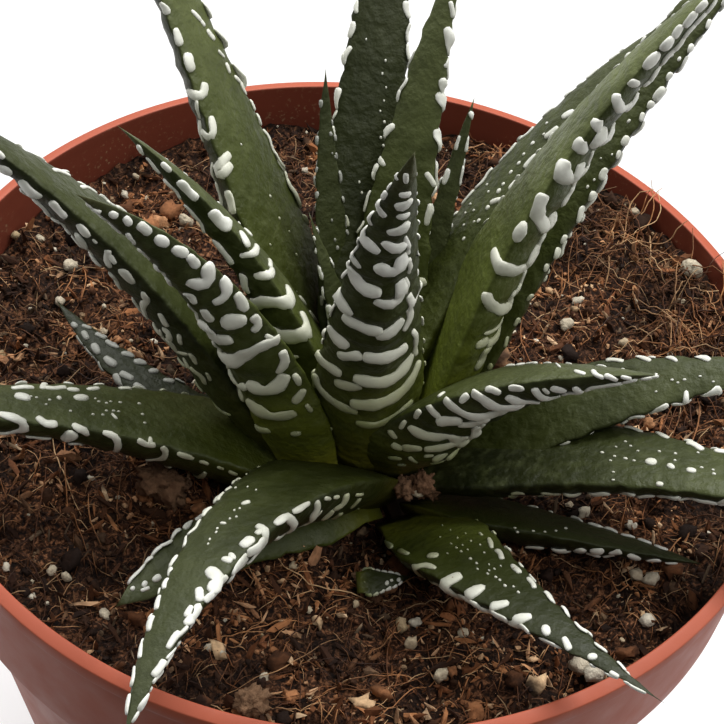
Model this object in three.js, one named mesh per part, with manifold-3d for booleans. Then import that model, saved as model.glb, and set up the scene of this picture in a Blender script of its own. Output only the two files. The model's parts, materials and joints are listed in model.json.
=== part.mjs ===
// Potted haworthia: a rosette of white banded leaves in a round nursery pot.
// Millimetres, +Z up, origin at the middle of the pot's flat underside, -Y is the front.
import * as THREE from 'three';
import { mergeVertices } from 'three/addons/utils/BufferGeometryUtils.js';
import Module from 'manifold-3d';

const wasm = await Module();
wasm.setup();

// Driving dimensions of the pot
const POT_HEIGHT = 105;
const RIM_RADIUS = 60;
const LIP_WIDTH = 1.8;
const LIP_HEIGHT = 2.6;
const GROOVE_DEPTH = 0.5;
const GROOVE_SLOPE = 0.6;
const COLLAR_HEIGHT = 20;
const COLLAR_FOOT_RADIUS = 58.3;
const STEP_DEPTH = 2.2;
const BASE_RADIUS = 42;
const WALL = 1.4;
const BASE_THICKNESS = 2;
const EDGE_CHAMFER = 1.2;
const DRAIN_HOLES = 6;
const DRAIN_RADIUS = 3.5;
const DRAIN_CIRCLE = 26;
const DRAIN_SIDES = 12;
const ROUND_STEPS = 48;

// Driving dimensions of the potting mix
const SOIL_LEVEL = 97.5;
const SOIL_GAP = 0.3;
const SOIL_BUMP = 0.7;
const SOIL_RINGS = 9;
const SOIL_RING_CROWDING = 0.85;
const HOLLOW_DEPTH = 6.5;
const HOLLOW_RADIUS = 15;
const BANK_HEIGHT = 5.5;
const BANK_TURN = 30;
const BANK_SPREAD = 55;

// Stem: it leans a little back and to the left as it rises
const STEM_FOOT = new THREE.Vector3(8, -13.5, 97);
const STEM_LEAN = new THREE.Vector2(-4 / 9, 2 / 9);
const STEM_BOTTOM = 82;
const STEM_TOP = 107;
const STEM_RADIUS = 4;
const STEM_TOP_RADIUS = 2;
const STEM_CROWN = 3;
const STEM_SIDES = 12;

// Leaf habit shared by all the leaves
const ROW_PITCH = 2.8;
const ROOM_PITCH = 4;
const TUBERCLE_HEIGHT = 0.55;
const KEEL_DEPTH = 0.42;
const CLEARANCE = 0.4;
const HEEL_RADIUS = 2;
const FOOT_WIDTH = 0.78;
const WIDEST_AT = 0.2;
const SWELL_AT_FOOT = 0.05;
const SWELL_TO_TIP = 0.2;

const DEGREE = Math.PI / 180;

// One line a leaf. turn: compass direction in degrees from +X at the foot and at the tip;
// rise: slope above level there; taper: under 1 is full towards the tip, over 1 is hollow;
// roll: turn about its own length, counter-clockwise as seen from the stem;
// twist: how much the roll grows from foot to tip, where a leaf has one;
// seat: height on the stem and distance out.
// A leaf gives way, where two feet meet, to the leaves above it in this list.
const LEAVES = [
  { name: 'leaf_right_front', turn: [320, 346], rise: [72, 17], length: 46, width: 17, taper: 0.9,
    roll: 9, twist: 20, seat: [106, 3.5] },
  { name: 'leaf_left_front', turn: [193, 235], rise: [76, 47], length: 69, width: 13.8, taper: 0.75,
    roll: -30, seat: [101, 10] },
  { name: 'leaf_centre', turn: [257, 286], rise: [83, 65], length: 66.5, width: 14, taper: 0.72,
    roll: -20, seat: [107, 4] },
  { name: 'leaf_right_tall', turn: [34, 14], rise: [83, 48], length: 80, width: 15, taper: 0.73,
    roll: 23, seat: [103, 4] },
  { name: 'leaf_young_left', turn: [130, 103], rise: [56, 68], length: 46.5, width: 6.6, taper: 0.75,
    roll: -3, seat: [104, 3.5] },
  { name: 'leaf_young_right', turn: [76, 70], rise: [60, 67], length: 44, width: 5.5, taper: 0.7,
    roll: 2, seat: [104, 3] },
  { name: 'leaf_young_small', turn: [131, 144], rise: [60, 63], length: 30, width: 5.5, taper: 0.86,
    roll: 4, seat: [104, 2.5] },
  { name: 'leaf_left_inner', turn: [157, 180], rise: [66, 38], length: 52.5, width: 14, taper: 0.8,
    roll: -33, seat: [104, 4] },
  { name: 'leaf_front_over_rim', turn: [230, 262], rise: [47, -17], length: 62, width: 15, taper: 0.8,
    roll: -23, seat: [101, 5] },
  { name: 'leaf_back_upright', turn: [96, 69], rise: [66, 59], length: 63, width: 11.5, taper: 0.8,
    roll: 12, seat: [106, 2] },
  { name: 'leaf_back_left', turn: [141, 138], rise: [58, 47], length: 93, width: 15, taper: 0.93,
    roll: -21, seat: [103, 7] },
  { name: 'leaf_right_behind', turn: [42, 32], rise: [64, 46], length: 89, width: 14, taper: 0.84,
    roll: 2, seat: [103, 3] },
  { name: 'leaf_left_long', turn: [174, 195], rise: [60, 38], length: 73, width: 17, taper: 0.86,
    roll: -6, twist: -11, seat: [102, 12] },
  { name: 'leaf_back_right', turn: [58, 31], rise: [56, 36], length: 59, width: 11.2, taper: 0.6,
    roll: 28, seat: [109, 1] },
  { name: 'leaf_back', turn: [111, 77], rise: [57, 48], length: 80, width: 13.4, taper: 0.78,
    roll: -5, seat: [105, 2] },
  { name: 'leaf_right_low', turn: [352, 335], rise: [29, 0], length: 68, width: 14.7, taper: 0.76,
    roll: 6, seat: [101, 3] },
  { name: 'leaf_right_mid', turn: [7, 0], rise: [37, 14], length: 52, width: 14.4, taper: 0.81,
    roll: -11, seat: [101, 4] },
  { name: 'leaf_left_low', turn: [183, 211], rise: [25, 7], length: 76, width: 16.5, taper: 0.87,
    roll: -18, seat: [98, 8] },
  { name: 'leaf_front_right', turn: [292, 325], rise: [39, 2], length: 49, width: 12.5, taper: 1.1,
    roll: -3, seat: [97, 7.5] },
  { name: 'leaf_right_short', turn: [337, 347], rise: [20, 2], length: 36, width: 10.2, taper: 0.7,
    roll: 27, seat: [96, 5] },
  { name: 'leaf_front_short', turn: [216, 232], rise: [13, 2], length: 37, width: 12.3, taper: 0.61,
    roll: 23, seat: [98, 7] },
  { name: 'leaf_left_short', turn: [184, 135], rise: [14, 9], length: 48, width: 10.3, taper: 0.73,
    roll: -1, seat: [97, 6] },
];

// Seeded random numbers between 0 and 1, so every build is the same
function randomStream(seed) {
  let state = seed;
  return () => {
    state = (state * 1664525 + 1013904223) % 4294967296;
    return state / 4294967296;
  };
}

function solidFrom(geometry) {
  const plain = geometry.clone();
  plain.deleteAttribute('normal');
  plain.deleteAttribute('uv');
  const merged = mergeVertices(plain, 1e-4);
  return new wasm.Manifold(new wasm.Mesh({
    numProp: 3,
    vertProperties: new Float32Array(merged.attributes.position.array),
    triVerts: new Uint32Array(merged.index.array),
  }));
}

function geometryFrom(solid) {
  const mesh = solid.getMesh();
  const geometry = new THREE.BufferGeometry();
  geometry.setAttribute('position', new THREE.BufferAttribute(mesh.vertProperties, 3));
  geometry.setIndex(new THREE.BufferAttribute(mesh.triVerts, 1));
  return geometry;
}

function largestBody(solid) {
  const bodies = solid.decompose();
  return bodies.reduce((best, body) => (body.volume() > best.volume() ? body : best));
}

// Skin over rings of points: each ring joins the next, the first is closed flat and the last meets one point
function skinOverRings(rings, apex) {
  const count = rings[0].length;
  const points = rings.flat().concat([apex]);
  const last = rings.length - 1;
  const triangles = [];
  for (let row = 0; row < last; row += 1) {
    for (let k = 0; k < count; k += 1) {
      const next = (k + 1) % count;
      const a = row * count + k;
      const b = row * count + next;
      triangles.push(a, b, a + count, b, b + count, a + count);
    }
  }
  for (let k = 0; k < count; k += 1) {
    triangles.push(last * count + k, last * count + (k + 1) % count, points.length - 1);
  }
  for (let k = 1; k < count - 1; k += 1) {
    triangles.push(0, k + 1, k);
  }
  const geometry = new THREE.BufferGeometry().setFromPoints(points);
  geometry.setIndex(triangles);
  return geometry;
}

// Height of the potting mix: level, hollow round the stem, banked up against the rim at the back right
function soilHeight(x, y) {
  const fromStem = Math.hypot(x - STEM_FOOT.x, y - STEM_FOOT.y) / HOLLOW_RADIUS;
  const hollow = HOLLOW_DEPTH * Math.exp(-fromStem * fromStem);
  const outward = Math.hypot(x, y) / RIM_RADIUS;
  let turn = Math.atan2(y, x) / DEGREE - BANK_TURN;
  turn = ((turn + 540) % 360) - 180;
  const bank = BANK_HEIGHT * outward ** 3 * Math.exp(-((turn / BANK_SPREAD) ** 2));
  return SOIL_LEVEL - hollow + bank;
}

// Inside radius of the pot at a height: straight taper up to the collar, then the collar's own flare
function innerRadius(height) {
  const stepHeight = POT_HEIGHT - COLLAR_HEIGHT;
  const bodyTop = COLLAR_FOOT_RADIUS - STEP_DEPTH;
  if (height <= stepHeight) {
    return THREE.MathUtils.mapLinear(height, 0, stepHeight, BASE_RADIUS, bodyTop) - WALL;
  }
  return THREE.MathUtils.mapLinear(height, stepHeight, POT_HEIGHT, COLLAR_FOOT_RADIUS - WALL, RIM_RADIUS - LIP_WIDTH);
}

function buildPot() {
  const stepHeight = POT_HEIGHT - COLLAR_HEIGHT;
  const bodyTop = COLLAR_FOOT_RADIUS - STEP_DEPTH;
  const lipFoot = POT_HEIGHT - LIP_HEIGHT;
  const lipRound = LIP_WIDTH / 2;
  const profile = [
    new THREE.Vector2(0, 0),
    new THREE.Vector2(BASE_RADIUS - EDGE_CHAMFER, 0),
    new THREE.Vector2(BASE_RADIUS, EDGE_CHAMFER),
    new THREE.Vector2(bodyTop, stepHeight),
    new THREE.Vector2(COLLAR_FOOT_RADIUS, stepHeight),
    new THREE.Vector2(RIM_RADIUS - GROOVE_DEPTH, lipFoot - GROOVE_SLOPE),
    new THREE.Vector2(RIM_RADIUS - GROOVE_DEPTH, lipFoot),
    new THREE.Vector2(RIM_RADIUS, lipFoot + GROOVE_SLOPE),
    new THREE.Vector2(RIM_RADIUS, POT_HEIGHT - lipRound),
    new THREE.Vector2(RIM_RADIUS - lipRound * 0.6, POT_HEIGHT),
    new THREE.Vector2(RIM_RADIUS - lipRound * 1.4, POT_HEIGHT),
    new THREE.Vector2(innerRadius(POT_HEIGHT), POT_HEIGHT - lipRound),
    new THREE.Vector2(innerRadius(stepHeight + WALL), stepHeight + WALL),
    new THREE.Vector2(innerRadius(stepHeight), stepHeight),
    new THREE.Vector2(innerRadius(BASE_THICKNESS), BASE_THICKNESS),
    new THREE.Vector2(0, BASE_THICKNESS),
  ];
  const shell = new THREE.LatheGeometry(profile, ROUND_STEPS);
  shell.rotateX(Math.PI / 2);
  let pot = solidFrom(shell);
  for (let hole = 0; hole < DRAIN_HOLES; hole += 1) {
    const turn = (hole / DRAIN_HOLES) * 2 * Math.PI;
    const drill = new THREE.CylinderGeometry(DRAIN_RADIUS, DRAIN_RADIUS, BASE_THICKNESS * 3, DRAIN_SIDES);
    drill.rotateX(Math.PI / 2);
    drill.translate(DRAIN_CIRCLE * Math.cos(turn), DRAIN_CIRCLE * Math.sin(turn), BASE_THICKNESS / 2);
    pot = pot.subtract(solidFrom(drill));
  }
  return geometryFrom(pot);
}

function stemCentre(height) {
  const up = height - STEM_FOOT.z;
  return new THREE.Vector3(STEM_FOOT.x + STEM_LEAN.x * up, STEM_FOOT.y + STEM_LEAN.y * up, height);
}

// The stem's outline is a ring of points at a few heights, grown outward for the hole that it stands in
function buildStem(grow) {
  const heights = [STEM_BOTTOM - grow, STEM_FOOT.z, STEM_TOP - STEM_CROWN];
  const radii = [STEM_RADIUS * 0.8, STEM_RADIUS, STEM_TOP_RADIUS];
  const rings = heights.map((height, level) => {
    const centre = stemCentre(height);
    const ring = [];
    for (let k = 0; k < STEM_SIDES; k += 1) {
      const angle = (k / STEM_SIDES) * 2 * Math.PI;
      const radius = radii[level] + grow;
      ring.push(centre.clone().add(new THREE.Vector3(radius * Math.cos(angle), radius * Math.sin(angle), 0)));
    }
    return ring;
  });
  return skinOverRings(rings, stemCentre(STEM_TOP + grow));
}

// Potting mix: a filled body inside the pot with a bumpy top, and a plain hole for the stem
function buildSoil() {
  const random = randomStream(7);
  const stepHeight = POT_HEIGHT - COLLAR_HEIGHT;
  const levels = [BASE_THICKNESS + SOIL_GAP, stepHeight, stepHeight + WALL];
  const rings = levels.map((height) => soilRing(innerRadius(height) - SOIL_GAP, () => height));
  const brim = innerRadius(SOIL_LEVEL - 1) - SOIL_GAP;
  for (let ring = SOIL_RINGS; ring > 0; ring -= 1) {
    const radius = brim * (ring / SOIL_RINGS) ** SOIL_RING_CROWDING;
    rings.push(soilRing(radius, (x, y) => soilHeight(x, y) + SOIL_BUMP * (2 * random() - 1)));
  }
  const soil = solidFrom(skinOverRings(rings, new THREE.Vector3(0, 0, soilHeight(0, 0))));
  return geometryFrom(largestBody(soil.subtract(solidFrom(buildStem(SOIL_GAP)))));
}

function soilRing(radius, heightAt) {
  const ring = [];
  for (let k = 0; k < ROUND_STEPS; k += 1) {
    const angle = (k / ROUND_STEPS) * 2 * Math.PI;
    const x = radius * Math.cos(angle);
    const y = radius * Math.sin(angle);
    ring.push(new THREE.Vector3(x, y, heightAt(x, y)));
  }
  return ring;
}

// Share of the full width at a place along the leaf: clasping foot, widest at a fifth, long taper to the tip
function widthAt(along, taper) {
  if (along < WIDEST_AT) {
    return FOOT_WIDTH + (1 - FOOT_WIDTH) * Math.sin((along / WIDEST_AT) * (Math.PI / 2));
  }
  return ((1 - along) / (1 - WIDEST_AT)) ** taper;
}

// Centreline points with the leaf's own directions: along it, across it, and up out of its upper face
function leafFrames(leaf, rows) {
  const step = leaf.length / rows;
  const turnAt = (along) => THREE.MathUtils.lerp(leaf.turn[0], leaf.turn[1], along) * DEGREE;
  const riseAt = (along) => THREE.MathUtils.lerp(leaf.rise[0], leaf.rise[1], along) * DEGREE;
  const headingAt = (along) => new THREE.Vector3(
    Math.cos(riseAt(along)) * Math.cos(turnAt(along)),
    Math.cos(riseAt(along)) * Math.sin(turnAt(along)),
    Math.sin(riseAt(along)),
  );
  const [seatHeight, seatRadius] = leaf.seat;
  const outward = new THREE.Vector3(Math.cos(turnAt(0)), Math.sin(turnAt(0)), 0);
  const centre = stemCentre(seatHeight).addScaledVector(outward, seatRadius);
  const frames = [];
  for (let row = 0; row <= rows; row += 1) {
    const along = row / rows;
    const heading = headingAt(along);
    const level = new THREE.Vector3(Math.sin(turnAt(along)), -Math.cos(turnAt(along)), 0);
    const roll = (leaf.roll + (leaf.twist ?? 0) * along) * DEGREE;
    const across = level.clone().applyAxisAngle(heading, -roll);
    const upper = new THREE.Vector3().crossVectors(across, heading);
    frames.push({ along, centre: centre.clone(), across, upper });
    const middle = headingAt(along + 0.5 / rows);
    centre.addScaledVector(middle, step);
  }
  return frames;
}

// Leaf section of seven points: margin, three round the keel, margin, and two on the upper face.
// Every other row carries tubercles: both margins and the band across the underside stand out there.
function leafSection(frame, leaf, grow, raised) {
  const half = (leaf.width / 2) * widthAt(frame.along, leaf.taper);
  const swell = half * (SWELL_AT_FOOT + SWELL_TO_TIP * frame.along);
  const keel = half * 2 * KEEL_DEPTH;
  const edge = half + grow + raised;
  const under = grow + raised;
  const places = [
    [edge, 0],
    [half * 0.62 + under * 0.4, -keel * 0.66 - under],
    [0, -keel - under],
    [-half * 0.62 - under * 0.4, -keel * 0.66 - under],
    [-edge, 0],
    [-half * 0.45, swell + grow],
    [half * 0.45, swell + grow],
  ];
  return places.map(([across, upper]) => {
    const point = frame.centre.clone();
    point.addScaledVector(frame.across, across);
    point.addScaledVector(frame.upper, upper);
    point.z = Math.max(point.z, soilHeight(point.x, point.y) + SOIL_BUMP + CLEARANCE - grow);
    return point;
  });
}

// Height of the tubercles along the leaf: none on the clasping foot or on the dry tip
function tubercleHeight(along) {
  const start = THREE.MathUtils.smoothstep(along, 0.08, 0.3);
  return along > 0.92 ? 0 : TUBERCLE_HEIGHT * start;
}

// The room of a leaf is the same leaf made smooth and fatter, which keeps a neighbour clear of it
function buildLeaf(leaf, isRoom) {
  const rows = Math.round(leaf.length / (isRoom ? ROOM_PITCH : ROW_PITCH));
  const footGrow = isRoom ? CLEARANCE : 0;
  const frames = leafFrames(leaf, rows);
  const rings = [];
  const heel = frames[0];
  const inward = heel.centre.clone().sub(stemCentre(heel.centre.z)).setLength(leaf.seat[1] - HEEL_RADIUS);
  if (leaf.seat[1] > HEEL_RADIUS + 1) {
    rings.push(leafSection({ ...heel, centre: heel.centre.clone().sub(inward) }, leaf, footGrow, 0));
  }
  for (let row = 0; row < rows; row += 1) {
    const frame = frames[row];
    const height = tubercleHeight(frame.along);
    const grow = isRoom ? footGrow + height : 0;
    const raised = !isRoom && row % 2 === 1 ? height : 0;
    rings.push(leafSection(frame, leaf, grow, raised));
  }
  return skinOverRings(rings, frames[rows].centre);
}

// Tip of a small offset's leaf that lies on the mix in front of the plant
function buildOffsetTip() {
  const tip = { turn: [10, 20], length: 7, width: 4.4, taper: 0.8 };
  const foot = new THREE.Vector3(4.5, -32.5, soilHeight(4.5, -32.5) + SOIL_BUMP + CLEARANCE + 1.2);
  const rings = [];
  const rows = 5;
  for (let row = 0; row < rows; row += 1) {
    const along = row / rows;
    const turn = THREE.MathUtils.lerp(tip.turn[0], tip.turn[1], along) * DEGREE;
    const heading = new THREE.Vector3(Math.cos(turn), Math.sin(turn), 0);
    const frame = {
      along,
      centre: foot.clone().addScaledVector(heading, tip.length * along),
      across: new THREE.Vector3(Math.sin(turn), -Math.cos(turn), 0),
      upper: new THREE.Vector3(0, 0, 1),
    };
    rings.push(leafSection(frame, tip, 0, row % 2 === 1 ? TUBERCLE_HEIGHT / 2 : 0));
  }
  const heading = new THREE.Vector3(Math.cos(tip.turn[1] * DEGREE), Math.sin(tip.turn[1] * DEGREE), 0);
  return skinOverRings(rings, foot.clone().addScaledVector(heading, tip.length));
}

const POT_PLASTIC = new THREE.MeshStandardMaterial({ color: 0xa9472f, roughness: 0.42 });
const POTTING_MIX = new THREE.MeshStandardMaterial({ color: 0x4a2c1c, roughness: 0.95 });
const STEM_GREEN = new THREE.MeshStandardMaterial({ color: 0x6c7a35, roughness: 0.6 });
const LEAF_GREEN = new THREE.MeshStandardMaterial({ color: 0x2f4a22, roughness: 0.45 });

const haworthia = new THREE.Group();

function addPiece(name, geometry, material) {
  const mesh = new THREE.Mesh(geometry, material);
  mesh.name = name;
  haworthia.add(mesh);
}

addPiece('pot', buildPot(), POT_PLASTIC);
addPiece('soil', buildSoil(), POTTING_MIX);
addPiece('stem', buildStem(0), STEM_GREEN);
addPiece('offset_leaf_tip', buildOffsetTip(), LEAF_GREEN);

// Leaves give way to the stem and to the leaves that come before them
const reserved = [solidFrom(buildStem(CLEARANCE))];
for (const leaf of LEAVES) {
  let body = solidFrom(buildLeaf(leaf, false));
  for (const taken of reserved) {
    body = body.subtract(taken);
  }
  addPiece(leaf.name, geometryFrom(largestBody(body)), LEAF_GREEN);
  reserved.push(solidFrom(buildLeaf(leaf, true)));
}

export default haworthia;
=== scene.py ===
# %% [markdown]
# # A potted haworthia, rebuilt for Blender
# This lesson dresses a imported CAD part: a small succulent with white banded leaves in a round plastic
# nursery pot. The CAD model fixes every size and place. Here each plain solid gets its fine shape and
# its finish: leaves with raised tubercles, a moulded pot with a flat lip, and a loose potting mix of
# crumbs, fibres and pale grains.

# %% Load the fixed frame
import json
import math
import random

import bmesh
import bpy
import numpy as np
from mathutils import Matrix, Vector, noise

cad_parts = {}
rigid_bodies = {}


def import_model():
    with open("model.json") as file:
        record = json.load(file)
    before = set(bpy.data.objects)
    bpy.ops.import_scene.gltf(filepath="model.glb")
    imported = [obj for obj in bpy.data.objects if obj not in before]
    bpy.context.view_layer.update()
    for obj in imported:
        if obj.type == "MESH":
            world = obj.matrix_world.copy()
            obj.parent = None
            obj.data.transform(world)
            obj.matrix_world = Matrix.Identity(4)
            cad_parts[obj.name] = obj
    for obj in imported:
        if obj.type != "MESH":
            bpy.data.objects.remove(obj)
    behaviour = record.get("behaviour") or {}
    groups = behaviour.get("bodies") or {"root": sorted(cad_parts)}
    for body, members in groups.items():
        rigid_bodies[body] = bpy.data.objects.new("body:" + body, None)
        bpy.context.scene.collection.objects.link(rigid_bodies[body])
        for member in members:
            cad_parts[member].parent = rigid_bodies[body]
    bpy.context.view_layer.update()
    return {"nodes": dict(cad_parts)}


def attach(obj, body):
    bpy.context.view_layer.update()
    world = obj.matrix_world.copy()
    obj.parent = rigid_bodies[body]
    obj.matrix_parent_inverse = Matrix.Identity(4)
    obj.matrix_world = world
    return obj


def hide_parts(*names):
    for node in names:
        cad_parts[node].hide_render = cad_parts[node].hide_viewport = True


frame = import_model()
MM = 0.001

# %% [markdown]
# ## The camera
# The picture was taken from in front and well above, and the camera was turned a little about its own
# axis, so the pot's rim looks tilted. The pot's rim is a circle of known size, so the shape of its
# ellipse in the picture gives the camera's height, distance and turn. These few numbers are all that
# is needed.

# %% Camera
FRAME_PIXELS = 724
FOCAL_PIXELS = 1800
CAMERA_DISTANCE = 245.638 * MM
CAMERA_RISE = math.radians(47.249)
CAMERA_ROLL = math.radians(6.638)
CAMERA_TARGET = Vector((1.311 * MM, -0.636 * MM, 105 * MM))
SENSOR_WIDTH = 36.0
NEAREST_SHOWN = 0.01


def aim_camera():
    """A camera whose three axes are written out, so that its turn is exact."""
    back = Vector((0, -math.cos(CAMERA_RISE), math.sin(CAMERA_RISE)))
    level = Vector((1, 0, 0))
    upright = back.cross(level)
    right = level * math.cos(CAMERA_ROLL) + upright * math.sin(CAMERA_ROLL)
    up = upright * math.cos(CAMERA_ROLL) - level * math.sin(CAMERA_ROLL)
    data = bpy.data.cameras.new("camera")
    data.sensor_width = SENSOR_WIDTH
    data.lens = SENSOR_WIDTH * FOCAL_PIXELS / FRAME_PIXELS
    data.clip_start = NEAREST_SHOWN
    camera = bpy.data.objects.new("camera", data)
    bpy.context.scene.collection.objects.link(camera)
    turn = Matrix((right, up, back)).transposed().to_4x4()
    camera.matrix_world = Matrix.Translation(CAMERA_TARGET + back * CAMERA_DISTANCE) @ turn
    bpy.context.scene.camera = camera
    return camera


camera = aim_camera()
print("camera at", tuple(round(c, 4) for c in camera.location))

# %% [markdown]
# ## Studio: the sheets
# Pack shots like this one are taken over a white sweep, so a pale floor glows a little of itself. On it
# lies a dark card, in front of the pot and outside the picture. It keeps the floor's light off the
# near wall of the pot, which is a darker red than the far one.

# %% Floor and card
FLOOR_SIZE = 6.0
FLOOR_GREY = 0.4
FLOOR_GLOW = 0.6
CARD_WIDTH = 0.9
CARD_DEPTH = 0.8
CARD_START = -0.075
CARD_LIFT = 0.001
CARD_GREY = 0.03


def flat_sheet(name, x_ends, y_ends, height, grey, glow):
    """A level sheet that belongs to the studio and not to the part."""
    (left, right), (near, far) = x_ends, y_ends
    corners = [(left, near, height), (right, near, height), (right, far, height), (left, far, height)]
    mesh = bpy.data.meshes.new(name)
    mesh.from_pydata(corners, [], [(0, 1, 2, 3)])
    sheet = bpy.data.objects.new(name, mesh)
    bpy.context.scene.collection.objects.link(sheet)
    paint = bpy.data.materials.new(name + "_paint")
    paint.use_nodes = True
    shader = paint.node_tree.nodes["Principled BSDF"]
    shader.inputs["Base Color"].default_value = (grey, grey, grey, 1)
    shader.inputs["Roughness"].default_value = 0.9
    shader.inputs["Specular IOR Level"].default_value = 0.0
    shader.inputs["Emission Color"].default_value = (1, 1, 1, 1)
    shader.inputs["Emission Strength"].default_value = glow
    mesh.materials.append(paint)
    sheet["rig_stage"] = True
    return sheet


half_floor = FLOOR_SIZE / 2
half_card = CARD_WIDTH / 2
flat_sheet("floor", (-half_floor, half_floor), (-half_floor, half_floor), 0, FLOOR_GREY, FLOOR_GLOW)
card_ends = (CARD_START - CARD_DEPTH, CARD_START)
flat_sheet("dark_card", (-half_card, half_card), card_ends, CARD_LIFT, CARD_GREY, 0.0)
print("the floor and the card lie")

# %% [markdown]
# ## Studio: the light
# The light comes from large soft boxes. The strongest hangs over the plant and a little behind it, which
# shapes the raised bands. One at the back left and one on each side fill in, and a weak one in front
# opens the shadows together with a dim white sky.

# %% Sky and soft boxes
SKY_LIGHT = 0.09
BOX_SIDE = 0.4
BOX_AIM = Vector((0, 0, 0.11))
SOFT_BOXES = {
    "key_box": ((0.17, 0.36, 0.95), 8.5),
    "back_left_box": ((-0.37, 0.64, 0.78), 4.4),
    "right_box": ((0.74, 0.05, 0.78), 3.4),
    "left_box": ((-0.74, 0, 0.78), 2.1),
    "front_box": ((0.25, -0.45, 0.93), 2.2),
}


def soft_box(name, place, watts):
    lamp = bpy.data.lights.new(name, "AREA")
    lamp.shape = "RECTANGLE"
    lamp.size = BOX_SIDE
    lamp.size_y = BOX_SIDE
    lamp.energy = watts
    box = bpy.data.objects.new(name, lamp)
    bpy.context.scene.collection.objects.link(box)
    box.location = place
    box.rotation_euler = (Vector(place) - BOX_AIM).to_track_quat("Z", "Y").to_euler()


sky = bpy.data.worlds.new("studio_sky")
sky.use_nodes = True
sky.node_tree.nodes["Background"].inputs["Color"].default_value = (1, 1, 1, 1)
sky.node_tree.nodes["Background"].inputs["Strength"].default_value = SKY_LIGHT
bpy.context.scene.world = sky
bpy.context.scene.view_settings.view_transform = "Standard"
for box_name, (box_place, box_watts) in SOFT_BOXES.items():
    soft_box(box_name, box_place, box_watts)
print("soft boxes:", len(SOFT_BOXES))

# %% [markdown]
# ## Helpers for meshes
# A mesh here is made from plain lists: points, faces, and for some pieces a small map that tells the
# material where on the piece a point lies. Round things are rings of points, so one helper joins rings
# with faces. Blender's modifiers could spin or skin such shapes, but lists keep every size exact.

# %% Mesh helpers
PLACE_MAP = "Place"


def make_object(name, points, faces, place=None, smooth=True, slots=(), face_slots=None):
    """One mesh object. place holds two numbers a point, stored as a map named Place."""
    mesh = bpy.data.meshes.new(name)
    mesh.from_pydata(np.asarray(points, float).tolist(), [], [tuple(f) for f in faces])
    mesh.validate()
    mesh.polygons.foreach_set("use_smooth", [smooth] * len(mesh.polygons))
    if place is not None:
        layer = mesh.uv_layers.new(name=PLACE_MAP)
        corners = np.zeros(len(mesh.loops), int)
        mesh.loops.foreach_get("vertex_index", corners)
        layer.uv.foreach_set("vector", np.asarray(place, np.float32)[corners].ravel())
    for material in slots:
        mesh.materials.append(material)
    if face_slots is not None:
        mesh.polygons.foreach_set("material_index", face_slots)
    piece = bpy.data.objects.new(name, mesh)
    bpy.context.scene.collection.objects.link(piece)
    return piece


def settle(piece, slot, *nodes):
    """The piece moves with the one body and stands for these CAD nodes. slot is not used."""
    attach(piece, "root")
    if nodes:
        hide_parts(*nodes)
    print(piece.name, "faces:", len(piece.data.polygons))
    return piece


def ring_faces(rings, count, first=0):
    """Four-sided faces between closed rings of count points that follow one another."""
    faces = []
    for low in range(first, first + (rings - 1) * count, count):
        for k in range(count):
            after = (k + 1) % count
            faces.append((low + k, low + after, low + count + after, low + count + k))
    return faces


def fan_faces(low, count, apex):
    """Triangles that close the ring starting at low with one point."""
    return [(low + k, low + (k + 1) % count, apex) for k in range(count)]


def unit(vectors):
    return vectors / np.maximum(np.linalg.norm(vectors, axis=-1, keepdims=True), 1e-12)


# %% [markdown]
# ## A helper for materials
# A material here is a chain of noise patterns and colour ramps into one shader. Every finish below is
# such a chain, so a small builder keeps the wiring out of sight, and each finish reads as a recipe.

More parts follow.
